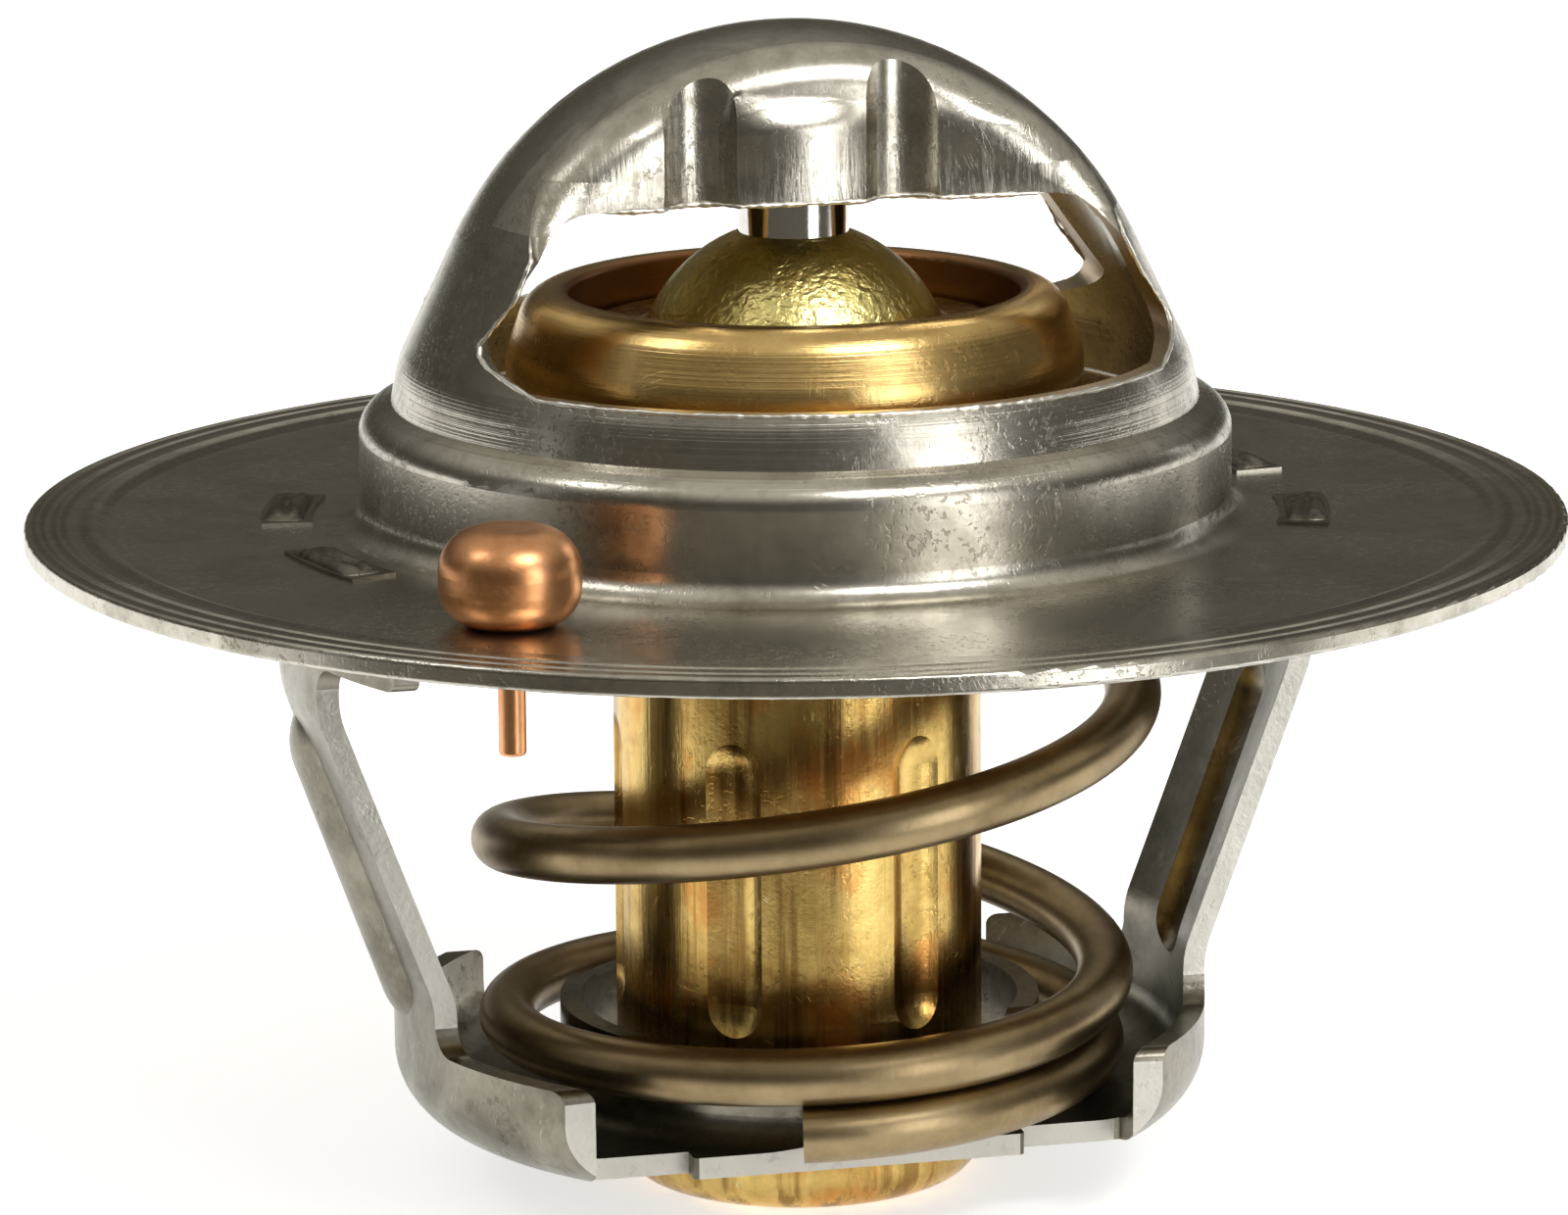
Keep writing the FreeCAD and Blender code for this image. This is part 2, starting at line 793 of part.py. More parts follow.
def element_head():
    """Domed brass guide of the pin, with the flange that the crimp grips."""
    bottom = dome_flange_bottom()
    top = bottom + dome_flange_thickness
    flange = crimp_radius - crimp_wall - dome_edge_gap
    bore = pin_radius + pin_running_gap
    apex = dome_centre_height + dome_radius
    blank = turned([
        (0, bottom, 0),
        (flange, bottom, dome_flange_round),
        (flange, top, dome_flange_round),
        (dome_neck(), top, 0),
        (dome_neck(), apex, 0),
        (0, apex, 0),
    ])
    ball = Part.makeSphere(dome_radius, Vector(0, 0, dome_centre_height))
    disc = Part.makeCylinder(flange + beyond, dome_flange_thickness, Vector(0, 0, bottom))
    body = blank.common(ball.fuse(disc))
    hole = Part.makeCylinder(bore, 2 * dome_radius, Vector(0, 0, bottom - beyond))
    return cleaned(body.cut(hole))


def backing_washer():
    """Thin hard washer that keeps the boot from creeping up the bore."""
    top = dome_flange_bottom()
    return turned([
        (pin_radius + pin_running_gap, top - washer_thickness, 0),
        (crimp_radius - crimp_wall - dome_edge_gap, top - washer_thickness, 0),
        (crimp_radius - crimp_wall - dome_edge_gap, top, 0),
        (pin_radius + pin_running_gap, top, 0),
    ])


def boot_profile(gap, bore):
    """Profile of the rubber boot, grown by a gap; bore says whether the pin hole is left open."""
    flange_low = crimp_floor() + crimp_wall
    flange_high = flange_low + boot_flange_thickness
    radius = pin_radius + seal_gap + boot_wall + gap
    tip = pin_bottom - pin_end_gap - boot_tip_wall - gap
    outer = [
        (0, tip, 0),
        (radius, tip, boot_tip_round),
        (radius, flange_low, 0),
    ]
    if not bore:
        return outer + [(0, flange_low, 0)]
    hole = pin_radius + seal_gap
    hole_tip = pin_tip_radius + seal_gap
    taper_top = pin_bottom + pin_tip_length
    return outer + [
        (crimp_radius - crimp_wall - dome_edge_gap, flange_low, 0),
        (crimp_radius - crimp_wall - dome_edge_gap, flange_high, 0),
        (hole, flange_high, 0),
        (hole, taper_top, 0),
        (hole_tip, pin_bottom - pin_end_gap, 0),
        (0, pin_bottom - pin_end_gap, 0),
    ]


def rubber_boot():
    """Rubber boot around the pin, squeezed by the wax as it melts."""
    return turned(boot_profile(0.0, bore=True))


def wax_charge():
    """Wax that fills the cup around the boot."""
    return cup_inside(wax_gap).cut(turned(boot_profile(wax_gap, bore=False)))


# Pins

def pin_top():
    """Height where the end of the pin meets the underside of the bridge."""
    reach = arch_radius - flange_sheet
    return arch_centre_height + math.sqrt(reach ** 2 - pin_radius ** 2) - seal_gap


def piston_pin():
    """Polished steel pin, held by the bridge, that the element slides on."""
    return turned([
        (0, pin_bottom, 0),
        (pin_tip_radius, pin_bottom, pin_chamfer),
        (pin_radius, pin_bottom + pin_tip_length, 0),
        (pin_radius, pin_top(), pin_chamfer),
        (0, pin_top(), 0),
    ])


def jiggle_pin():
    """Loose copper pin whose head vents or closes the hole in the flange."""
    pin = turned([
        (0, jiggle_stem_end, 0),
        (jiggle_stem_radius, jiggle_stem_end, jiggle_tip_round),
        (jiggle_stem_radius, 0, 0),
        (jiggle_head_radius, 0, jiggle_head_foot_round),
        (jiggle_head_radius, jiggle_head_height, jiggle_head_top_round),
        (0, jiggle_head_height, 0),
    ])
    pin.translate(jiggle_place())
    return pin


def pieces():
    """Every separate piece of the thermostat by name."""
    return {
        "bridge_flange": bridge_flange(),
        "lower_frame": lower_frame(),
        "spring": spring(),
        "valve": valve(),
        "wax_cup": wax_cup(),
        "wax_charge": wax_charge(),
        "rubber_boot": rubber_boot(),
        "backing_washer": backing_washer(),
        "element_head": element_head(),
        "piston_pin": piston_pin(),
        "jiggle_pin": jiggle_pin(),
    }


os.makedirs("parts", exist_ok=True)
for name, shape in pieces().items():
    shape.exportStep("parts/" + name + ".step")
    print(name, "solids", len(shape.Solids), "valid", shape.isValid(), "volume", round(shape.Volume, 2))
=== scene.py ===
"""Looks of an engine thermostat: finishes for its eleven metal, wax and rubber pieces, small
worked details, a plain studio and the camera."""

import logging
import math
from dataclasses import dataclass
from enum import Enum, StrEnum
from typing import ClassVar

import bpy
import numpy as np
from mathutils import Matrix, Vector


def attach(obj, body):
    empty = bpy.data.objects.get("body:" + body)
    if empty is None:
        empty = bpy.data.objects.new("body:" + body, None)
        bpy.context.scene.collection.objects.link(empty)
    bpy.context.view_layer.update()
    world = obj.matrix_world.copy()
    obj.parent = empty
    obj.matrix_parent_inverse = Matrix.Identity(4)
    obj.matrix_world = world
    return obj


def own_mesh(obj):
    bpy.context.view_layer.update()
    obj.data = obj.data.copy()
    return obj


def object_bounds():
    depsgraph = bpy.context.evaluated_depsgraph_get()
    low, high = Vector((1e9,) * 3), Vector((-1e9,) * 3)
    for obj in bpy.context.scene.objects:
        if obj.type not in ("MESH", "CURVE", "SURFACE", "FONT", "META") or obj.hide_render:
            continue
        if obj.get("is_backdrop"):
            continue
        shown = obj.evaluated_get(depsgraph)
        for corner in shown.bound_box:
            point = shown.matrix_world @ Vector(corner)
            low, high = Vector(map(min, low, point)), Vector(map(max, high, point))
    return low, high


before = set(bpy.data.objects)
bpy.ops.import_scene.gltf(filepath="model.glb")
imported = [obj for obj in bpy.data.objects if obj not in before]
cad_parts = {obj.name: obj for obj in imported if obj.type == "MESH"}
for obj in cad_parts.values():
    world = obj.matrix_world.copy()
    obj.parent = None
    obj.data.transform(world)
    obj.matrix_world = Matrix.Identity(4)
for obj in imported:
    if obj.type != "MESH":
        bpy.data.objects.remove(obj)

log = logging.getLogger("thermostat")

MM = 0.001
NOISE_MIDDLE = 0.5
LEAST_ROUGHNESS = 0.03
BUMP_DISTANCE = 0.05 * MM

Triple = tuple[float, float, float]
Colour = Triple


class Body(StrEnum):
    """Bodies of the frame, which the sub-assemblies belong to."""

    HOUSING = "housing"
    ELEMENT = "element"
    JIGGLE = "jiggle"


class Slot(StrEnum):
    """Names of two material slots."""

    BRIDGE = "stainless_bridge"
    FRAME = "stainless_frame"


class Side(Enum):
    """Face of the bridge; its value is the sign of Y there."""

    FRONT = -1.0
    BACK = 1.0


@dataclass(frozen=True)
class Cloud:
    """Settings of a cloud noise, whose pattern may be turned in degrees and stretched."""

    scale: float = 1.0
    detail: float = 4.0
    roughness: float = 0.55
    distortion: float = 0.0
    stretch: Triple | None = None
    turn: Triple = (0.0, 0.0, 0.0)


@dataclass(frozen=True)
class Ramp:
    """Smooth step that carries one range to another and is held at its ends."""

    low: float
    high: float
    to_low: float = 0.0
    to_high: float = 1.0


class Graph:
    """Adds nodes to one tree and links them."""

    def __init__(self, tree: bpy.types.NodeTree) -> None:
        """Start on a tree.

        Args:
            tree: node tree of a material, world or group.
        """
        self.tree = tree

    def node(self, kind: str, inputs: dict | None = None, **settings) -> bpy.types.Node:
        """Add one node.

        Args:
            kind: type name of the node.
            inputs: socket name or number to a value, or to an output that is linked to it.
            settings: properties of the node itself.

        Returns:
            The new node.
        """
        made = self.tree.nodes.new(kind)
        for name, value in settings.items():
            setattr(made, name, value)
        for key, value in (inputs or {}).items():
            self.feed(made.inputs[key], value)
        return made

    def feed(self, socket: bpy.types.NodeSocket, value) -> None:
        """Link an output to a socket, or set the socket's own value."""
        if isinstance(value, bpy.types.NodeSocket):
            self.tree.links.new(value, socket)
        elif isinstance(value, tuple) and len(value) == 3 and socket.type == "RGBA":
            socket.default_value = (*value, 1.0)
        else:
            socket.default_value = value

    def math(self, operation: str, a, b=0.0, c=0.0, clamp: bool = False) -> bpy.types.NodeSocket:
        """Result of one arithmetic step on numbers or outputs."""
        made = self.node("ShaderNodeMath", {0: a, 1: b, 2: c}, operation=operation, use_clamp=clamp)
        return made.outputs[0]

    def product(self, first, *others) -> bpy.types.NodeSocket:
        """Numbers or outputs multiplied one after the other."""
        for other in others:
            first = self.math("MULTIPLY", first, other)
        return first

    def vector(self, operation: str, *values, result: int | str = 0) -> bpy.types.NodeSocket:
        """Result of one step on vectors, taken from the output that is named."""
        inputs = dict(enumerate(values))
        return self.node("ShaderNodeVectorMath", inputs, operation=operation).outputs[result]

    def remap(self, value, ramp: Ramp) -> bpy.types.NodeSocket:
        """Value carried along a ramp."""
        inputs = {"Value": value, "From Min": ramp.low, "From Max": ramp.high,
                  "To Min": ramp.to_low, "To Max": ramp.to_high}
        made = self.node("ShaderNodeMapRange", inputs, interpolation_type="SMOOTHSTEP")
        return made.outputs["Result"]

    def mix(self, share, a, b) -> bpy.types.NodeSocket:
        """Colour between a and b."""
        made = self.node("ShaderNodeMix", data_type="RGBA")
        self.feed(made.inputs["Factor"], share)
        self.feed(made.inputs[6], a)
        self.feed(made.inputs[7], b)
        return made.outputs[2]

    def point(self) -> bpy.types.NodeSocket:
        """Place on the object in millimetres."""
        place = self.node("ShaderNodeTexCoord").outputs["Object"]
        scaled = self.node("ShaderNodeVectorMath", {0: place, "Scale": 1 / MM}, operation="SCALE")
        return scaled.outputs[0]

    def split(self, vector: bpy.types.NodeSocket) -> bpy.types.NodeOutputs:
        """X, Y and Z of a vector."""
        return self.node("ShaderNodeSeparateXYZ", {0: vector}).outputs

    def radius(self, x, y) -> bpy.types.NodeSocket:
        """Distance to the axis, the root of the sum of both squares."""
        squares = self.math("ADD", self.math("POWER", x, 2.0), self.math("POWER", y, 2.0))
        return self.math("SQRT", squares)

    def clouds(self, vector, cloud: Cloud, scale=None) -> bpy.types.NodeOutputs:
        """Cloud noise over a place.

        Args:
            vector: place in millimetres.
            cloud: settings of the noise.
            scale: output that stands in for the scale of these settings.

        Returns:
            The outputs of the noise, Fac and Color.
        """
        if cloud.stretch is not None:
            angles = tuple(math.radians(angle) for angle in cloud.turn)
            turned = self.node("ShaderNodeMapping", {"Vector": vector, "Rotation": angles})
            vector = self.vector("MULTIPLY", turned.outputs[0], cloud.stretch)
        inputs = {"Vector": vector, "Scale": cloud.scale if scale is None else scale,
                  "Detail": cloud.detail, "Roughness": cloud.roughness,
                  "Distortion": cloud.distortion}
        return self.node("ShaderNodeTexNoise", inputs).outputs

    def noise(self, vector, cloud: Cloud, scale=None) -> bpy.types.NodeSocket:
        """Cloud noise as one number between 0 and 1."""
        return self.clouds(vector, cloud, scale)["Fac"]


@dataclass(frozen=True)
class Socket:
    """One socket of a shared effect."""

    name: str
    kind: str = "NodeSocketFloat"
    value: float | Colour = 0.0


class Effect:
    """Shader node group that finishes place with their own values."""

    title = "effect"
    takes: tuple[Socket, ...] = ()
    gives: tuple[Socket, ...] = ()

    def __init__(self) -> None:
        """Build the group once, with its sockets and its inner nodes."""
        self.group = bpy.data.node_groups.new(self.title, "ShaderNodeTree")
        interface = self.group.interface
        for socket in self.takes:
            made = interface.new_socket(socket.name, in_out="INPUT", socket_type=socket.kind)
            if isinstance(socket.value, tuple):
                made.default_value = (*socket.value, 1.0)
            else:
                made.default_value = socket.value
        for socket in self.gives:
            interface.new_socket(socket.name, in_out="OUTPUT", socket_type=socket.kind)
        graph = Graph(self.group)
        start = graph.node("NodeGroupInput")
        end = graph.node("NodeGroupOutput")
        for name, value in self.fill(graph, start.outputs).items():
            graph.feed(end.inputs[name], value)

    def fill(self, graph: Graph, given: bpy.types.NodeOutputs) -> dict:
        """Nodes of the effect; returns output name to result."""
        raise NotImplementedError

    def use(self, graph: Graph, **values) -> bpy.types.NodeOutputs:
        """Place the group in a material.

        Args:
            graph: the material's graph.
            values: socket values, with underscores for the spaces in their names.

        Returns:
            The outputs of the placed group.
        """
        placed = graph.node("ShaderNodeGroup", node_tree=self.group)
        for name, value in values.items():
            graph.feed(placed.inputs[name.replace("_", " ")], value)
        return placed.outputs


class SatinSheet(Effect):
    """Mottled rolled sheet: soft patches, fine grain and orange-peel pits where it was drawn."""

    title = "satin_sheet"
    takes = (
        Socket("Pale", "NodeSocketColor", (0.6, 0.6, 0.6)),
        Socket("Dark", "NodeSocketColor", (0.3, 0.3, 0.3)),
        Socket("Patch Scale", value=0.25),
        Socket("Grain Scale", value=5.0),
        Socket("Roughness", value=0.3),
        Socket("Spread", value=0.12),
        Socket("Pits", value=0.5),
    )
    gives = (Socket("Color", "NodeSocketColor"), Socket("Roughness"), Socket("Height"))

    patch = Cloud(detail=6.0, roughness=0.62, distortion=0.4)
    patch_tone = Ramp(0.36, 0.68, 0.0, 0.75)
    grain = Cloud(detail=3.0, roughness=0.6)
    grain_relief = 0.35
    peel = Cloud(detail=2.0, roughness=0.7)
    peel_scale = 0.42
    peel_depth = Ramp(0.44, 0.36)
    drawn = Cloud(0.13, 2.0)
    drawn_share = Ramp(0.42, 0.62)
    pit_tone = 0.6
    pit_roughness = 0.12
    pit_relief = -0.8
    fleck = Cloud(1.7, 6.0, 0.7)
    fleck_tone = 0.9

    def fill(self, graph: Graph, given: bpy.types.NodeOutputs) -> dict:
        """Patches and flecks mix the two tones, pits darken and dent, grain only dents."""
        place = graph.point()
        patches = graph.noise(place, self.patch, given["Patch Scale"])
        grain = graph.noise(place, self.grain, given["Grain Scale"])
        peel_scale = graph.math("MULTIPLY", given["Grain Scale"], self.peel_scale)
        peel = graph.noise(place, self.peel, peel_scale)
        drawn = graph.remap(graph.noise(place, self.drawn), self.drawn_share)
        pits = graph.product(graph.remap(peel, self.peel_depth), drawn, given["Pits"])
        share = graph.math("ADD", graph.remap(patches, self.patch_tone),
                           graph.math("MULTIPLY", pits, self.pit_tone))
        fleck = graph.math("SUBTRACT", graph.noise(place, self.fleck), NOISE_MIDDLE)
        share = graph.math("MULTIPLY_ADD", fleck, self.fleck_tone, share)
        share = graph.math("MINIMUM", graph.math("MAXIMUM", share, 0.0), 1.0)
        shift = graph.math("SUBTRACT", patches, NOISE_MIDDLE)
        rough = graph.math("MULTIPLY_ADD", shift, given["Spread"], given["Roughness"])
        rough = graph.math("MULTIPLY_ADD", pits, self.pit_roughness, rough)
        dents = graph.math("MULTIPLY", pits, self.pit_relief)
        return {
            "Color": graph.mix(share, given["Pale"], given["Dark"]),
            "Roughness": rough,
            "Height": graph.math("MULTIPLY_ADD", grain, self.grain_relief, dents),
        }


class Scratches(Effect):
    """Thin random scratches in two directions."""

    title = "scratches"
    takes = (Socket("Density", value=0.5),)
    gives = (Socket("Mask"),)

    runs = (
        (3.0, Cloud(detail=2.0, roughness=0.5, stretch=(7.0, 0.35, 0.35), turn=(10.0, 0.0, 32.0))),
        (11.0, Cloud(detail=2.0, roughness=0.5, stretch=(7.0, 0.35, 0.35), turn=(0.0, 24.0, -55.0))),
    )
    line = Ramp(0.010, 0.002)
    patch = Cloud(0.55, 2.0)
    patch_share = Ramp(0.58, 0.68)

    def fill(self, graph: Graph, given: bpy.types.NodeOutputs) -> dict:
        """A scratch shows where stretched noise crosses its middle value inside random patches."""
        place = graph.point()
        total = 0.0
        for shift, run in self.runs:
            moved = graph.vector("ADD", place, (shift, shift, shift))
            away = graph.math("SUBTRACT", graph.noise(moved, run), NOISE_MIDDLE)
            line = graph.remap(graph.math("ABSOLUTE", away), self.line)
            patch = graph.remap(graph.noise(moved, self.patch), self.patch_share)
            total = graph.math("MAXIMUM", total, graph.product(line, patch))
        return {"Mask": graph.math("MULTIPLY", total, given["Density"], clamp=True)}


class TurnedLines(Effect):
    """Lines that run round the axis, as turning or rolling leaves them."""

    title = "turned_lines"
    takes = (Socket("Lines", value=6.0), Socket("Low", value=-100.0), Socket("High", value=100.0))
    gives = (Socket("Height"),)

    line = Cloud(detail=3.0, roughness=0.7)

    def fill(self, graph: Graph, given: bpy.types.NodeOutputs) -> dict:
        """Noise of radius and height alone, cut off beyond the two heights."""
        x, y, z = graph.split(graph.point())
        ring = graph.node("ShaderNodeCombineXYZ", {0: graph.radius(x, y), 1: z}).outputs[0]
        lines = graph.noise(ring, self.line, given["Lines"])
        above = graph.math("GREATER_THAN", z, given["Low"])
        below = graph.math("LESS_THAN", z, given["High"])
        return {"Height": graph.product(lines, above, below)}


class Hammered(Effect):
    """Small overlapping dents."""

    title = "hammered"
    takes = (Socket("Scale", value=1.0),)
    gives = (Socket("Height"),)

    stir = Cloud(1.1, 3.0, 0.5)
    stir_reach = (2.2, 2.2, 2.2)
    softness = 0.6
    fine = Cloud(2.6, 3.0, 0.6)
    fine_relief = 0.55

    def fill(self, graph: Graph, given: bpy.types.NodeOutputs) -> dict:
        """Smooth cells whose middles are low, stirred by noise."""
        place = graph.point()
        stir = graph.clouds(place, self.stir)["Color"]
        moved = graph.vector("MULTIPLY_ADD", stir, self.stir_reach, place)
        inputs = {"Vector": moved, "Scale": given["Scale"], "Smoothness": self.softness}
        cells = graph.node("ShaderNodeTexVoronoi", inputs, feature="SMOOTH_F1").outputs["Distance"]
        fine = graph.noise(moved, self.fine)
        return {"Height": graph.math("MULTIPLY_ADD", fine, self.fine_relief, cells)}


class ShearedEdge(Effect):
    """Mask of the faces that the window punch left in the bridge, which run straight along Y."""

    title = "sheared_edge"
    takes = (Socket("Low", value=6.9), Socket("High", value=13.9), Socket("Side", value=3.0))
    gives = (Socket("Mask"), Socket("Torn"))

    lean_limit = 0.012
    streak = Cloud(detail=3.0, roughness=0.7, stretch=(5.0, 0.6, 5.0))

    def fill(self, graph: Graph, given: bpy.types.NodeOutputs) -> dict:
        """Faces with no lean along Y, between two heights and away from the middle plane."""
        normal = graph.node("ShaderNodeNewGeometry").outputs["True Normal"]
        lean = graph.math("ABSOLUTE", graph.split(normal)[1])
        place = graph.point()
        parts = graph.split(place)
        flat = graph.math("LESS_THAN", lean, self.lean_limit)
        above = graph.math("GREATER_THAN", parts[2], given["Low"])
        below = graph.math("LESS_THAN", parts[2], given["High"])
        away = graph.math("GREATER_THAN", graph.math("ABSOLUTE", parts[1]), given["Side"])
        mask = graph.product(flat, above, below, away)
        return {"Mask": mask, "Torn": graph.product(mask, graph.noise(place, self.streak))}


class Effects:
    """Every shared effect, built once."""

    def __init__(self) -> None:
        """Build the groups."""
        self.satin = SatinSheet()
        self.scratches = Scratches()
        self.turned = TurnedLines()
        self.hammered = Hammered()
        self.sheared = ShearedEdge()


@dataclass
class Draft:
    """Material under way: what feeds its shader so far."""

    material: bpy.types.Material
    graph: Graph
    colour: bpy.types.NodeSocket
    roughness: bpy.types.NodeSocket
    height: bpy.types.NodeSocket
    bump: float
    metallic: float = 1.0
    relief: bpy.types.NodeSocket | None = None

    def tint(self, mask, colour: Colour) -> None:
        """Lay a colour over the masked places."""
        self.colour = self.graph.mix(mask, self.colour, colour)

    def roughen(self, mask, amount: float) -> None:
        """Add roughness in the masked places."""
        self.roughness = self.graph.math("MULTIPLY_ADD", mask, amount, self.roughness)

    def raise_by(self, value, amount: float) -> None:
        """Add to the fine height, which the bump takes in its own short measure."""
        self.height = self.graph.math("MULTIPLY_ADD", value, amount, self.height)

    def close(self) -> bpy.types.Material:
        """Finish the shader and return its material."""
        bump = self.graph.node("ShaderNodeBump", {
            "Height": self.height,
            "Strength": self.bump,
            "Distance": BUMP_DISTANCE,
        })
        if self.relief is not None:
            inputs = {"Height": self.relief, "Strength": 1.0, "Distance": MM}
            form = self.graph.node("ShaderNodeBump", inputs)
            self.graph.feed(bump.inputs["Normal"], form.outputs[0])
        shader = self.graph.node("ShaderNodeBsdfPrincipled", {
            "Base Color": self.colour,
            "Roughness": self.graph.math("MAXIMUM", self.roughness, LEAST_ROUGHNESS),
            "Metallic": self.metallic,
            "Normal": bump.outputs[0],
        })
        self.graph.node("ShaderNodeOutputMaterial", {0: shader.outputs[0]})
        return self.material


@dataclass(frozen=True)
class Metal:
    """Numbers that any finish has, and the satin sheet that it starts from."""

    pale: Colour
    dark: Colour
    roughness: float
    spread: float
    patch_scale: float = 0.25
    grain_scale: float = 5.0
    pits: float = 0.5
    bump: float = 0.25
    scratch: float = 0.5
    scratch_relief: float = -0.5
    scratch_colour: Colour = (0.8, 0.78, 0.72)

    def start(self, name: str, effects: Effects) -> Draft:
        """Material with the satin sheet and its scratches in place.

        Args:
            name: name of the material.
            effects: the shared node groups.

        Returns:
            The draft, to which a finish adds its own layers before it is closed.
        """
        material = bpy.data.materials.new(name)
        material.use_nodes = True
        material.node_tree.nodes.clear()
        graph = Graph(material.node_tree)
        sheet = effects.satin.use(
            graph, Pale=self.pale, Dark=self.dark, Patch_Scale=self.patch_scale,
            Grain_Scale=self.grain_scale, Roughness=self.roughness, Spread=self.spread,
            Pits=self.pits,
        )
        marks = effects.scratches.use(graph, Density=self.scratch)["Mask"]
        colour = graph.mix(marks, sheet["Color"], self.scratch_colour)
        height = graph.math("MULTIPLY_ADD", marks, self.scratch_relief, sheet["Height"])
        return Draft(material, graph, colour, sheet["Roughness"], height, self.bump)


@dataclass(frozen=True)
class RimRing:
    """Groove rolled near the rim, in millimetres."""

    radius: float
    half_width: float
    depth: float


@dataclass(frozen=True)
class StampedSteel(Metal):
    """Drawn stainless sheet with rolled lines round the neck and bare sheared edges."""

    neck_lines: float = 3.6
    neck_low: float = 4.5
    neck_high: float = 6.8
    neck_relief: float = 2.6
    edge_low: float = 6.9
    edge_high: float = 13.9
    edge_side: float = 3.0
    edge_colour: Colour = (0.62, 0.5, 0.33)
    edge_roughness: float = 0.12
    edge_relief: float = 2.0
    stain_place: Triple = (-5.6, -5.2, 14.2)
    stain_colour: Colour = (0.32, 0.2, 0.1)
    stain_fray: Cloud = Cloud(1.8, 3.0)
    stain_fray_reach: float = 0.9
    stain_share: Ramp = Ramp(1.3, 0.7, 0.0, 0.75)
    rim_rings: tuple[RimRing, ...] = (
        RimRing(29.15, 0.7, 0.34),
        RimRing(30.55, 0.4, 0.2),
        RimRing(31.4, 0.35, 0.2),
    )
    rim_height: float = 0.8
    boss_shift: float = 0.9
    boss_half: float = 3.3
    boss_swell: float = 0.7
    boss_side: float = 2.2
    boss_low: float = 13.0
    boss_top: Ramp = Ramp(18.4, 16.6)
    pocket_start: float = 5.7
    pocket_slope: float = 0.17
    drag: Cloud = Cloud(roughness=0.7, stretch=(3.2, 1.0, 0.32))
    drag_low: float = 13.7
    drag_top: Ramp = Ramp(17.6, 14.2)
    drag_side: float = 3.2
    drag_relief: float = 3.0
    drag_dull: Ramp = Ramp(0.45, 0.65)
    drag_roughness: float = 0.1

    def add_relief(self, draft: Draft) -> None:
        """Rolled rings near the rim, and the swell of the crown between its two flutes.

        Each ring is a smooth groove, t*t*(3 - 2*t) - 1 times its depth for the distance t to its
        radius, as a share of its half width. The swell is the parabola 1 - (x / half)^2 across
        the crown, on its two faces only. Beyond the flutes both faces lean towards the legs at a
        constant slope.
        """
        graph = draft.graph
        x, y, z = graph.split(graph.point())
        radius = graph.radius(x, y)
        grooves = 0.0
        for ring in self.rim_rings:
            away = graph.math("ABSOLUTE", graph.math("SUBTRACT", radius, ring.radius))
            groove = graph.remap(away, Ramp(0.0, ring.half_width, -ring.depth, 0.0))
            grooves = graph.math("ADD", grooves, groove)
        flange = graph.math("LESS_THAN", graph.math("ABSOLUTE", z), self.rim_height)
        across = graph.math("MULTIPLY_ADD", graph.math("SIGN", y), -self.boss_shift, x)
        square = graph.math("POWER", graph.math("DIVIDE", across, self.boss_half), 2.0)
        swell = graph.math("MAXIMUM", graph.math("SUBTRACT", 1.0, square), 0.0)
        reach = graph.math("SUBTRACT", graph.math("ABSOLUTE", across), self.pocket_start)
        lean = graph.math("MULTIPLY", graph.math("MAXIMUM", reach, 0.0), self.pocket_slope)
        form = graph.math("MULTIPLY_ADD", swell, self.boss_swell, lean)
        face = graph.math("GREATER_THAN", graph.math("ABSOLUTE", y), self.boss_side)
        above = graph.math("GREATER_THAN", z, self.boss_low)
        crown = graph.product(form, face, graph.remap(z, self.boss_top), above)
        draft.relief = graph.math("ADD", graph.product(grooves, flange), crown)

    def add_drag_marks(self, draft: Draft) -> None:
        """Fine upright marks that the fold left above the lower edge of the crown."""
        graph = draft.graph
        place = graph.point()
        parts = graph.split(place)
        marks = graph.noise(place, self.drag)
        near = graph.remap(parts[2], self.drag_top)
        above = graph.math("GREATER_THAN", parts[2], self.drag_low)
        face = graph.math("GREATER_THAN", graph.math("ABSOLUTE", parts[1]), self.drag_side)
        mask = graph.product(near, above, face)
        draft.raise_by(graph.product(marks, mask), self.drag_relief)
        draft.roughen(graph.product(graph.remap(marks, self.drag_dull), mask), self.drag_roughness)

    def add_edges(self, draft: Draft, effects: Effects) -> None:
        """Bare metal where the window was punched."""
        edge = effects.sheared.use(
            draft.graph, Low=self.edge_low, High=self.edge_high, Side=self.edge_side,
        )
        draft.tint(edge["Mask"], self.edge_colour)
        draft.roughen(edge["Mask"], self.edge_roughness)
        draft.raise_by(edge["Torn"], self.edge_relief)

    def add_stain(self, draft: Draft) -> None:
        """Brown blotch on the crown that falls off with the distance, frayed by noise."""
        graph = draft.graph
        place = graph.point()
        away = graph.vector("DISTANCE", place, self.stain_place, result="Value")
        fray = graph.noise(place, self.stain_fray)
        frayed = graph.math("MULTIPLY_ADD", fray, self.stain_fray_reach, away)
        draft.tint(graph.remap(frayed, self.stain_share), self.stain_colour)

    def material(self, name: str, effects: Effects) -> bpy.types.Material:
        """Finish of the bridge and flange."""
        draft = self.start(name, effects)
        self.add_relief(draft)
        self.add_drag_marks(draft)
        lines = effects.turned.use(
            draft.graph, Lines=self.neck_lines, Low=self.neck_low, High=self.neck_high,
        )
        draft.raise_by(lines["Height"], self.neck_relief)
        self.add_edges(draft, effects)
        self.add_stain(draft)
        return draft.close()


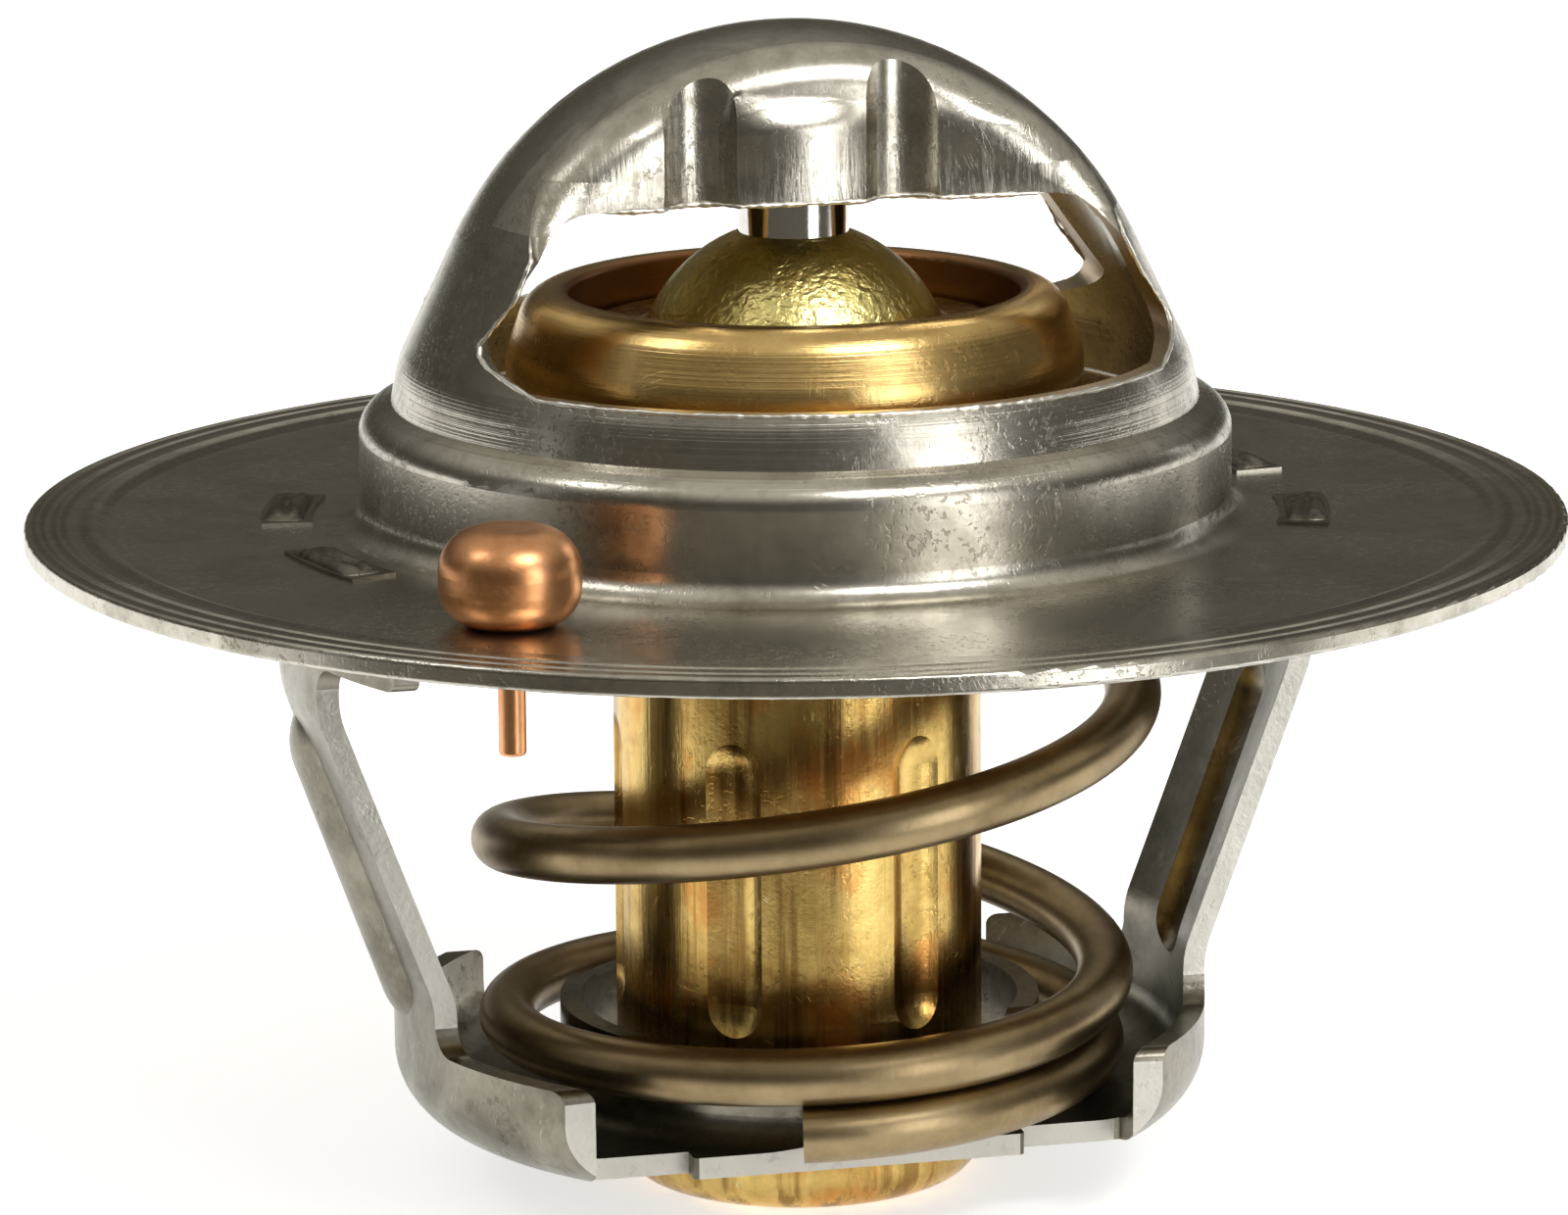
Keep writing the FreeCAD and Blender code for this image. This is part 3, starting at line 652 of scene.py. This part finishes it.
@dataclass(frozen=True)
class TrimmedSteel(Metal):
    """Stainless strip with torn, shiny edges and painted shade in its dish."""

    dish_shade_radius: Ramp = Ramp(15.2, 13.6)
    dish_shade_height: Ramp = Ramp(-22.8, -24.4)
    dish_shade_share: float = 0.7
    dish_shade_colour: Colour = (0.13, 0.115, 0.085)
    dish_roughness: float = 0.12
    cut_lean: float = 0.985
    cut_share: float = 0.7
    cut_colour: Colour = (0.72, 0.7, 0.64)
    cut_roughness: float = 0.1
    cut_streak: Cloud = Cloud(roughness=0.7, stretch=(0.7, 6.0, 0.7))
    cut_relief: float = 3.0

    def material(self, name: str, effects: Effects) -> bpy.types.Material:
        """Finish of the stirrup."""
        draft = self.start(name, effects)
        graph = draft.graph
        place = graph.point()
        x, y, z = graph.split(place)
        # Painted shade: the inside of the dish, low and near the axis, is darkened to near black where the
        # shadow falls; the same mask also makes it rougher.
        shaded_inside = graph.product(graph.remap(graph.radius(x, y), self.dish_shade_radius),
                               graph.remap(z, self.dish_shade_height))
        draft.tint(graph.product(shaded_inside, self.dish_shade_share), self.dish_shade_colour)
        draft.roughen(shaded_inside, self.dish_roughness)
        normal = graph.node("ShaderNodeNewGeometry").outputs["True Normal"]
        lean = graph.math("ABSOLUTE", graph.split(normal)[1])
        cut = graph.math("GREATER_THAN", lean, self.cut_lean)
        draft.tint(graph.product(cut, self.cut_share), self.cut_colour)
        draft.roughen(cut, self.cut_roughness)
        draft.raise_by(graph.product(cut, graph.noise(place, self.cut_streak)), self.cut_relief)
        return draft.close()


@dataclass(frozen=True)
class TurnedBronze(Metal):
    """Bronze ring with fine lines round it; inside its throat it is redder and duller, and darkened by
    painted shade.
    """

    lines: float = 4.5
    line_relief: float = 1.6
    throat: Ramp = Ramp(10.2, 9.4)
    throat_tint_and_shade_share: float = 0.85
    throat_tint_and_shade_colour: Colour = (0.26, 0.1, 0.045)
    throat_roughness: float = 0.12

    def material(self, name: str, effects: Effects) -> bpy.types.Material:
        """Finish of the valve."""
        draft = self.start(name, effects)
        graph = draft.graph
        turned = effects.turned.use(graph, Lines=self.lines)
        draft.raise_by(turned["Height"], self.line_relief)
        x, y = graph.split(graph.point())[:2]
        # Inside the throat: a redder bronze tint, plus painted shade that darkens the recess; the same mask
        # makes it rougher.
        shaded_inside = graph.remap(graph.radius(x, y), self.throat)
        draft.tint(graph.product(shaded_inside, self.throat_tint_and_shade_share), self.throat_tint_and_shade_colour)
        draft.roughen(shaded_inside, self.throat_roughness)
        return draft.close()


@dataclass(frozen=True)
class HammeredBrass(Metal):
    """Brass dome covered with small dents, darker round its foot."""

    dent_scale: float = 2.0
    dent_relief: float = 2.2
    foot: Ramp = Ramp(8.8, 7.0, 0.0, 0.8)
    foot_colour: Colour = (0.2, 0.13, 0.04)

    def material(self, name: str, effects: Effects) -> bpy.types.Material:
        """Finish of the guide dome."""
        draft = self.start(name, effects)
        dents = effects.hammered.use(draft.graph, Scale=self.dent_scale)
        draft.raise_by(dents["Height"], self.dent_relief)
        height = draft.graph.split(draft.graph.point())[2]
        draft.tint(draft.graph.remap(height, self.foot), self.foot_colour)
        return draft.close()


@dataclass(frozen=True)
class DrawnBrass(Metal):
    """Drawn brass with orange patches, dark streaks and fine lines up and down."""

    patch: Cloud = Cloud(roughness=0.6, distortion=0.6, stretch=(0.3, 0.3, 0.16))
    patch_share: Ramp = Ramp(0.5, 0.66, 0.0, 0.75)
    patch_colour: Colour = (0.66, 0.29, 0.07)
    streak: Cloud = Cloud(roughness=0.6, stretch=(0.8, 0.8, 0.045))
    streak_share: Ramp = Ramp(0.5, 0.64, 0.0, 0.75)
    streak_colour: Colour = (0.24, 0.125, 0.03)
    line: Cloud = Cloud(detail=3.0, roughness=0.6, stretch=(4.0, 4.0, 0.14))
    line_relief: float = 0.7
    line_dull: Ramp = Ramp(0.4, 0.7)
    line_roughness: float = 0.06

    def material(self, name: str, effects: Effects) -> bpy.types.Material:
        """Finish of the wax cup."""
        draft = self.start(name, effects)
        graph = draft.graph
        place = graph.point()
        draft.tint(graph.remap(graph.noise(place, self.patch), self.patch_share), self.patch_colour)
        streaks = graph.noise(place, self.streak)
        draft.tint(graph.remap(streaks, self.streak_share), self.streak_colour)
        lines = graph.noise(place, self.line)
        draft.raise_by(lines, self.line_relief)
        draft.roughen(graph.remap(lines, self.line_dull), self.line_roughness)
        return draft.close()


@dataclass(frozen=True)
class PlainMetal(Metal):
    """Satin sheet and scratches, and faint turned lines if their relief isn't zero."""

    lines: float = 7.0
    line_relief: float = 0.0

    def material(self, name: str, effects: Effects) -> bpy.types.Material:
        """Finish of the spring, the two pins, the stakes and the burrs."""
        draft = self.start(name, effects)
        turned = effects.turned.use(draft.graph, Lines=self.lines)
        draft.raise_by(turned["Height"], self.line_relief)
        return draft.close()


@dataclass(frozen=True)
class DullSolid(Metal):
    """Wax, rubber or washer: no metal, only a mottled matt body."""

    def material(self, name: str, effects: Effects) -> bpy.types.Material:
        """Finish of the hidden soft pieces and the washer."""
        draft = self.start(name, effects)
        draft.metallic = 0.0
        return draft.close()


STEEL = StampedSteel(pale=(0.66, 0.63, 0.55), dark=(0.32, 0.295, 0.24), roughness=0.25, spread=0.22,
                     patch_scale=0.2, grain_scale=6.5, pits=0.7, bump=0.22, scratch=0.4)
STRIP = TrimmedSteel(pale=(0.31, 0.29, 0.235), dark=(0.12, 0.108, 0.08), roughness=0.3, spread=0.22,
                     patch_scale=0.2, grain_scale=4.5, pits=0.6, bump=0.3, scratch=0.4)
BRONZE = TurnedBronze(pale=(0.9, 0.64, 0.26), dark=(0.6, 0.38, 0.13), roughness=0.25, spread=0.14,
                      patch_scale=0.14, grain_scale=5.0, pits=0.3, bump=0.25, scratch=0.3,
                      scratch_colour=(0.85, 0.65, 0.35))
DOME = HammeredBrass(pale=(0.96, 0.82, 0.33), dark=(0.72, 0.57, 0.17), roughness=0.3, spread=0.1,
                     patch_scale=0.3, grain_scale=5.0, pits=0.3, bump=0.5, scratch=0.2,
                     scratch_colour=(0.85, 0.75, 0.4))
CUP = DrawnBrass(pale=(0.76, 0.54, 0.18), dark=(0.36, 0.21, 0.05), roughness=0.22, spread=0.12,
                 patch_scale=0.18, grain_scale=5.0, pits=0.4, bump=0.3, scratch=0.8,
                 scratch_colour=(0.92, 0.78, 0.42))
WIRE = PlainMetal(pale=(0.38, 0.29, 0.16), dark=(0.23, 0.165, 0.085), roughness=0.36, spread=0.1,
                  patch_scale=0.2, grain_scale=6.0, pits=0.2, bump=0.2, scratch=0.25,
                  scratch_colour=(0.5, 0.42, 0.32))
PIN = PlainMetal(pale=(0.74, 0.73, 0.7), dark=(0.6, 0.59, 0.55), roughness=0.1, spread=0.04,
                 patch_scale=0.4, grain_scale=7.0, pits=0.1, bump=0.1, scratch=0.2, line_relief=0.3)
COPPER = PlainMetal(pale=(0.86, 0.44, 0.21), dark=(0.62, 0.26, 0.1), roughness=0.33, spread=0.12,
                    patch_scale=0.35, grain_scale=5.0, pits=0.3, bump=0.25, scratch=0.5,
                    scratch_colour=(0.95, 0.6, 0.4))
STAKE = PlainMetal(pale=(0.24, 0.22, 0.175), dark=(0.06, 0.052, 0.04), roughness=0.34, spread=0.2,
                   patch_scale=1.1, grain_scale=4.0, pits=0.9, bump=0.8, scratch=0.9)
TORN = PlainMetal(pale=(0.9, 0.88, 0.82), dark=(0.7, 0.66, 0.56), roughness=0.36, spread=0.2,
                  patch_scale=1.2, grain_scale=6.0, pits=0.4, bump=0.5, scratch=0.2)
WAX = DullSolid(pale=(0.66, 0.55, 0.36), dark=(0.5, 0.4, 0.24), roughness=0.55, spread=0.1)
RUBBER = DullSolid(pale=(0.05, 0.05, 0.05), dark=(0.03, 0.03, 0.03), roughness=0.7, spread=0.1)
WASHER = DullSolid(pale=(0.8, 0.79, 0.75), dark=(0.65, 0.64, 0.6), roughness=0.45, spread=0.1)


def ring_mesh(name: str, rows: np.ndarray) -> bpy.types.Object:
    """Closed skin over a row of rings.

    Each ring closes on itself, neighbours are joined by quads, and both ends get a cap.

    Args:
        name: name of the new object.
        rows: points in metres, one row for each ring, shape (rings, points, 3).

    Returns:
        The new object, smooth shaded.
    """
    rings, points = rows.shape[:2]
    index = np.arange(rings * points).reshape(rings, points)
    following = np.roll(index, -1, axis=1)
    quads = np.stack([index[:-1], following[:-1], following[1:], index[1:]], axis=-1)
    faces = quads.reshape(-1, 4).tolist()
    faces.append(index[0][::-1].tolist())
    faces.append(index[-1].tolist())
    mesh = bpy.data.meshes.new(name)
    mesh.from_pydata(rows.reshape(-1, 3).tolist(), [], faces)
    mesh.update()
    mesh.shade_smooth()
    made = bpy.data.objects.new(name, mesh)
    bpy.context.scene.collection.objects.link(made)
    return made


def path_lengths(path: np.ndarray) -> np.ndarray:
    """Length along a path up to each of its points."""
    steps = np.linalg.norm(np.diff(path, axis=0), axis=1)
    return np.concatenate([[0.0], np.cumsum(steps)])


@dataclass(frozen=True)
class Stake:
    """Swaged head of a tab, in millimetres."""

    radius: float = 21.15
    length: float = 5.4
    width: float = 1.7
    base: float = 0.1
    height: float = 0.36
    end_power: int = 6
    side_power: int = 4
    groove_depth: float = 0.24
    groove_width: float = 0.22
    groove_sway: float = 0.15
    groove_bends: float = 3.0
    wave_height: float = 0.05
    wave_along: float = 5.0
    wave_across: float = 3.0
    wave_step: float = 2.0
    waist: float = 0.06
    least_rise: float = -0.04
    foot_depth: float = 0.06
    points_along: int = 33
    points_across: int = 17

    def mesh(self, index: int, angle: float) -> bpy.types.Object:
        """Head of one tab.

        The height over the tab is a flattened cushion, (1 - u^6)(1 - v^4), with a slight wave of
        sine times cosine on it, less a groove that runs along the tab and is deepest in the
        middle, with u and v from -1 to 1 along and across. Its two long sides draw in by v^2.

        Args:
            index: number of the tab, which shifts the wave and the sway of the groove.
            angle: its angle round the axis in degrees.

        Returns:
            The new piece, closed by a flat foot.
        """
        along = np.linspace(-1, 1, self.points_along)
        over = np.linspace(-1, 1, self.points_across)
        u, v = np.meshgrid(along, over, indexing="ij")
        cushion = (1 - u ** self.end_power) * (1 - v ** self.side_power)
        middle = self.groove_sway * np.sin(self.groove_bends * u + index)
        groove = np.exp(-((v - middle) / self.groove_width) ** 2) * (1 - u ** 2)
        wave = (self.wave_height * np.sin(self.wave_along * u + self.wave_step * index)
                * np.cos(self.wave_across * v + index))
        rise = self.height * cushion * (1 + wave) - self.groove_depth * groove
        top = self.base + np.maximum(rise, self.least_rise)
        turn = math.radians(angle)
        radial = self.radius + v * self.width / 2
        tangential = u * self.length / 2 * (1 - self.waist * v ** 2)
        x = radial * math.cos(turn) - tangential * math.sin(turn)
        y = radial * math.sin(turn) + tangential * math.cos(turn)
        upper = np.stack([x, y, top], axis=-1)
        lower = np.stack([x, y, np.full_like(x, self.base - self.foot_depth)], axis=-1)
        rows = np.concatenate([upper, lower[:, ::-1]], axis=1) * MM
        return ring_mesh(f"stake_head_{index + 1}", rows)


@dataclass(frozen=True)
class Burr:
    """Thin torn bead along a sheared edge, in millimetres."""

    size: float = 0.13
    mean: float = 0.75
    swing: float = 0.35
    waves: tuple[tuple[float, float], ...] = ((1.9, 1.0), (5.1, 0.8), (12.3, 0.6))
    taper: float = 0.7
    tip: float = 0.05
    facets: int = 8
    seed: int = 7

    def mesh(self, name: str, path: np.ndarray, seed: int) -> bpy.types.Object:
        """Bead along a path.

        Its radius wavers as a weighted mean of three sines of the length along the path, and it
        swells and dies away at both ends.

        Args:
            name: name of the piece.
            path: points in millimetres, shape (n, 3).
            seed: choice of the sines' phases.

        Returns:
            The new piece.
        """
        random = np.random.default_rng(self.seed + seed)
        phases = random.uniform(0, 2 * math.pi, len(self.waves))
        length = path_lengths(path)
        waver = sum(share * np.sin(pace * length + phase)
                    for (pace, share), phase in zip(self.waves, phases))
        waver /= sum(share for _, share in self.waves)
        ends = np.clip(np.minimum(length, length[-1] - length) / self.taper, self.tip, 1.0)
        radius = (self.size * (self.mean + self.swing * waver) * ends)[:, None, None]
        tangent = np.gradient(path, axis=0)
        tangent /= np.linalg.norm(tangent, axis=1, keepdims=True)
        outward = path * (1.0, 1.0, 0.0)
        outward -= tangent * np.sum(outward * tangent, axis=1, keepdims=True)
        outward /= np.linalg.norm(outward, axis=1, keepdims=True)
        across = np.cross(tangent, outward)
        angle = np.linspace(0, 2 * math.pi, self.facets + 1)[:-1][None, :, None]
        spoke = np.cos(angle) * outward[:, None] + np.sin(angle) * across[:, None]
        return ring_mesh(name, (path[:, None] + radius * spoke) * MM)


@dataclass
class Part:
    """Sub-assembly of pieces that share a body."""

    effects: Effects
    body: ClassVar[Body]

    def dress(self, node: str, material: bpy.types.Material) -> None:
        """Give a piece of the frame its finish."""
        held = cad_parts[node]
        held.data.materials.clear()
        held.data.materials.append(material)
        log.info("%s of the %s wears %s", node, self.body, material.name)

    def add(self, piece: bpy.types.Object, body: Body, slot: Slot,
            material: bpy.types.Material) -> None:
        """Give a new piece its body and its finish."""
        piece.data.materials.append(material)
        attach(piece, body)
        log.info("%s rides on the %s", piece.name, body)


@dataclass
class Housing(Part):
    """Bridge and flange, stirrup, spring and piston pin, with the worked details."""

    body = Body.HOUSING
    tab_angles: tuple[float, ...] = (15.4, -15.4, 164.6, 195.4)
    stake: Stake = Stake()
    burr: Burr = Burr()
    skirt_side: float = 5.42
    skirt_height: float = 13.8
    skirt_reach: float = 9.3
    skirt_seed: int = 10
    skirt_points: int = 320
    flute_middles: tuple[float, ...] = (-5.1, 3.3)
    flute_radius: float = 1.7
    flute_centre: float = 6.1
    cone_radius: float = 16.45
    cone_height: float = 6.6
    cone_slope: float = 0.4724
    ball_radius: float = 15.6
    ball_height: float = 4.9
    ball_foot: float = 11.56
    window_half: tuple[tuple[float, float], ...] = (
        (12.2, 13.05), (12.35, 12.1), (13.1, 10.5), (13.9, 9.4), (14.38, 8.7), (14.47, 8.3),
        (14.3, 7.95), (13.7, 7.55), (12.9, 7.12), (10.0, 7.1), (5.0, 7.1), (0.0, 7.1),
    )
    window_points: int = 420
    valve_travel: float = 0.008

    def window_path(self, side: Side) -> np.ndarray:
        """Outer edge of a window, on the cone of the legs or the ball of the arch.

        The cone's radius falls by its slope with the height; the ball's is the root of its
        radius squared less the height over its centre squared.

        Args:
            side: face of the bridge.

        Returns:
            Points in millimetres from the left knee down, along the sill and up the right one.
        """
        half = np.array(self.window_half)
        outline = np.concatenate([half * (-1, 1), half[-2::-1]])
        run = path_lengths(outline)
        along = np.linspace(0.0, run[-1], self.window_points)
        x, z = np.interp(along, run, outline[:, 0]), np.interp(along, run, outline[:, 1])
        cone = self.cone_radius - (z - self.cone_height) * self.cone_slope
        ball = np.sqrt(self.ball_radius ** 2 - (z - self.ball_height) ** 2)
        reach = np.where(z < self.ball_foot, cone, ball)
        y = side.value * np.sqrt(reach ** 2 - x ** 2)
        return np.stack([x, y, z], axis=-1)

    def skirt_path(self, side: Side) -> np.ndarray:
        """Lower edge of the crown's face: a line that dips into both flutes as arcs of circles.

        Args:
            side: face of the bridge.

        Returns:
            Points in millimetres along X.
        """
        x = np.linspace(-self.skirt_reach, self.skirt_reach, self.skirt_points)
        y = np.full_like(x, self.skirt_side)
        for middle in self.flute_middles:
            offset = np.clip(np.abs(x + side.value * middle), 0, self.flute_radius)
            y = np.minimum(y, self.flute_centre - np.sqrt(self.flute_radius ** 2 - offset ** 2))
        return np.stack([x, side.value * y, np.full_like(x, self.skirt_height)], axis=-1)

    def squash_spring(self) -> None:
        """Give the spring its own copy of its mesh after reading its points; nothing moves them, so it keeps
        its length.
        """
        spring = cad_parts["spring"]
        points = np.empty(3 * len(spring.data.vertices))
        spring.data.vertices.foreach_get("co", points)
        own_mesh(spring)

    def build(self) -> None:
        """Dress the four pieces and add the stakes and burrs."""
        self.dress("bridge_flange", STEEL.material("stainless_bridge_finish", self.effects))
        self.dress("lower_frame", STRIP.material("stainless_frame_finish", self.effects))
        self.dress("spring", WIRE.material("spring_finish", self.effects))
        self.dress("piston_pin", PIN.material("pin_finish", self.effects))
        self.squash_spring()
        stake = STAKE.material("stake_finish", self.effects)
        torn = TORN.material("torn_finish", self.effects)
        for index, angle in enumerate(self.tab_angles):
            self.add(self.stake.mesh(index, angle), self.body, Slot.FRAME, stake)
        for seed, side in enumerate(Side):
            word = side.name.lower()
            window = self.burr.mesh(f"window_burr_{word}", self.window_path(side), seed)
            self.add(window, self.body, Slot.BRIDGE, torn)
            skirt = self.burr.mesh(f"skirt_burr_{word}", self.skirt_path(side), seed + self.skirt_seed)
            self.add(skirt, self.body, Slot.BRIDGE, torn)


@dataclass
class Element(Part):
    """Valve, wax cup with its filling, boot, washer and dome."""

    body = Body.ELEMENT

    def build(self) -> None:
        """Dress the six pieces."""
        self.dress("valve", BRONZE.material("valve_finish", self.effects))
        self.dress("wax_cup", CUP.material("cup_finish", self.effects))
        self.dress("element_head", DOME.material("dome_finish", self.effects))
        self.dress("wax_charge", WAX.material("wax_finish", self.effects))
        self.dress("rubber_boot", RUBBER.material("boot_finish", self.effects))
        self.dress("backing_washer", WASHER.material("washer_finish", self.effects))


@dataclass
class Jiggle(Part):
    """Loose copper pin in the flange."""

    body = Body.JIGGLE

    def build(self) -> None:
        """Dress the pin."""
        self.dress("jiggle_pin", COPPER.material("copper_finish", self.effects))


@dataclass(frozen=True)
class Softbox:
    """Rectangular lamp that looks at the middle of the object, with lengths in metres."""

    name: str
    azimuth: float
    elevation: float
    distance: float
    width: float
    height: float
    power: float

    def place(self) -> None:
        """Put the lamp on its sphere, with azimuth 0 towards -Y and 90 towards +X."""
        light = bpy.data.lights.new(self.name, "AREA")
        light.shape = "RECTANGLE"
        light.size = self.width
        light.size_y = self.height
        light.energy = self.power
        held = bpy.data.objects.new(self.name, light)
        bpy.context.scene.collection.objects.link(held)
        azimuth, elevation = math.radians(self.azimuth), math.radians(self.elevation)
        level = math.cos(elevation)
        towards = Vector((math.sin(azimuth) * level, -math.cos(azimuth) * level, math.sin(elevation)))
        held.location = towards * self.distance
        held.rotation_euler = towards.to_track_quat("Z", "Y").to_euler()
        held.visible_camera = False


@dataclass
class Studio:
    """Floor, lamps, world and camera."""

    softboxes: tuple[Softbox, ...] = (
        Softbox("key", azimuth=28.0, elevation=6.0, distance=0.8, width=0.3, height=0.58, power=1.95),
        Softbox("left_strip", azimuth=-86.0, elevation=4.0, distance=0.7, width=0.05, height=0.5, power=0.05),
        Softbox("overhead", azimuth=24.0, elevation=50.0, distance=0.8, width=0.36, height=0.24, power=2.5),
        Softbox("right_edge", azimuth=112.0, elevation=6.0, distance=0.8, width=0.07, height=0.5, power=0.14),
        Softbox("top_left", azimuth=-84.0, elevation=50.0, distance=0.8, width=0.2, height=0.24, power=0.55),
    )
    floor_half_side: float = 4.0
    floor_gap: float = 0.0002
    floor_fade: Ramp = Ramp(-0.075, -0.015)
    floor_colour: Colour = (0.93, 0.93, 0.93)
    floor_roughness: float = 0.9
    floor_glow: float = 0.66
    world_low: Colour = (0.15, 0.135, 0.11)
    world_level: Colour = (0.075, 0.067, 0.052)
    world_high: Colour = (0.5, 0.48, 0.43)
    world_horizon: Ramp = Ramp(-0.3, 0.1)
    world_ceiling: Ramp = Ramp(0.25, 0.85)
    image_width: float = 1600.0
    focal_pixels: float = 7332.0
    sensor: float = 36.0
    clip_start: float = 0.01
    tilt: float = 12.454
    roll: float = -0.434
    turn: float = -13.5
    eye: Triple = (-0.52, -292.941, 60.567)

    def floor_paint(self) -> bpy.types.Material:
        """White paint that fades away just in front of the object.

        The camera, glossy and transmission rays see it a step brighter, so that it is white
        round the shadow, also in the metal.

        Returns:
            The material.
        """
        material = bpy.data.materials.new("floor_paint")
        material.use_nodes = True
        material.node_tree.nodes.clear()
        graph = Graph(material.node_tree)
        path = graph.node("ShaderNodeLightPath").outputs
        seen = graph.math("MAXIMUM", path["Is Camera Ray"], path["Is Glossy Ray"])
        seen = graph.math("MAXIMUM", seen, path["Is Transmission Ray"])
        turn = math.radians(self.turn)
        forwards = (-math.sin(turn), math.cos(turn), 0.0)
        place = graph.node("ShaderNodeTexCoord").outputs["Object"]
        ahead = graph.vector("DOT_PRODUCT", place, forwards, result="Value")
        shader = graph.node("ShaderNodeBsdfPrincipled", {
            "Base Color": self.floor_colour,
            "Roughness": self.floor_roughness,
            "Specular IOR Level": 0.0,
            "Emission Color": (1.0, 1.0, 1.0),
            "Emission Strength": graph.math("MULTIPLY", seen, self.floor_glow),
            "Alpha": graph.remap(ahead, self.floor_fade),
        })
        graph.node("ShaderNodeOutputMaterial", {0: shader.outputs[0]})
        return material

    def floor(self) -> None:
        """Pale table just under the lowest point of the object."""
        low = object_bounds()[0].z - self.floor_gap
        side = self.floor_half_side
        corners = [(-side, -side, low), (side, -side, low), (side, side, low), (-side, side, low)]
        mesh = bpy.data.meshes.new("floor")
        mesh.from_pydata(corners, [], [(0, 1, 2, 3)])
        mesh.materials.append(self.floor_paint())
        floor = bpy.data.objects.new("floor", mesh)
        bpy.context.scene.collection.objects.link(floor)
        floor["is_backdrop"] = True

    def world(self) -> None:
        """Dim warm room, darkest at eye level and light towards the ceiling."""
        world = bpy.data.worlds.new("studio")
        bpy.context.scene.world = world
        world.use_nodes = True
        world.node_tree.nodes.clear()
        graph = Graph(world.node_tree)
        height = graph.split(graph.node("ShaderNodeTexCoord").outputs["Generated"])[2]
        horizon = graph.remap(height, self.world_horizon)
        colour = graph.mix(horizon, self.world_low, self.world_level)
        colour = graph.mix(graph.remap(height, self.world_ceiling), colour, self.world_high)
        shader = graph.node("ShaderNodeBackground", {"Color": colour, "Strength": 1.0})
        graph.node("ShaderNodeOutputWorld", {0: shader.outputs[0]})

    def camera(self) -> None:
        """Camera fitted to the rim, from the viewpoint of the photograph."""
        data = bpy.data.cameras.new("camera")
        data.sensor_width = self.sensor
        data.lens = self.focal_pixels / self.image_width * self.sensor
        data.clip_start = self.clip_start
        held = bpy.data.objects.new("camera", data)
        bpy.context.scene.collection.objects.link(held)
        tilt, roll = math.radians(self.tilt), math.radians(self.roll)
        ahead = Vector((0.0, math.cos(tilt), -math.sin(tilt)))
        level = Vector((1.0, 0.0, 0.0))
        upright = level.cross(ahead)
        right = level * math.cos(roll) + upright * math.sin(roll)
        above = upright * math.cos(roll) - level * math.sin(roll)
        turned = Matrix.Rotation(math.radians(self.turn), 3, "Z")
        axes = turned @ Matrix((right, above, -ahead)).transposed()
        held.matrix_world = Matrix.Translation(turned @ (Vector(self.eye) * MM)) @ axes.to_4x4()
        bpy.context.scene.camera = held

    def build(self) -> None:
        """Set up the whole studio."""
        self.floor()
        self.world()
        for lamp in self.softboxes:
            lamp.place()
        self.camera()
        bpy.context.scene.view_settings.view_transform = "Standard"
        log.info("studio is set")


def main() -> None:
    """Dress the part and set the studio."""
    logging.basicConfig(level=logging.INFO, format="%(message)s")
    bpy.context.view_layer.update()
    effects = Effects()
    for part in (Housing(effects), Element(effects), Jiggle(effects)):
        part.build()
    Studio().build()


if __name__ == "__main__":
    main()
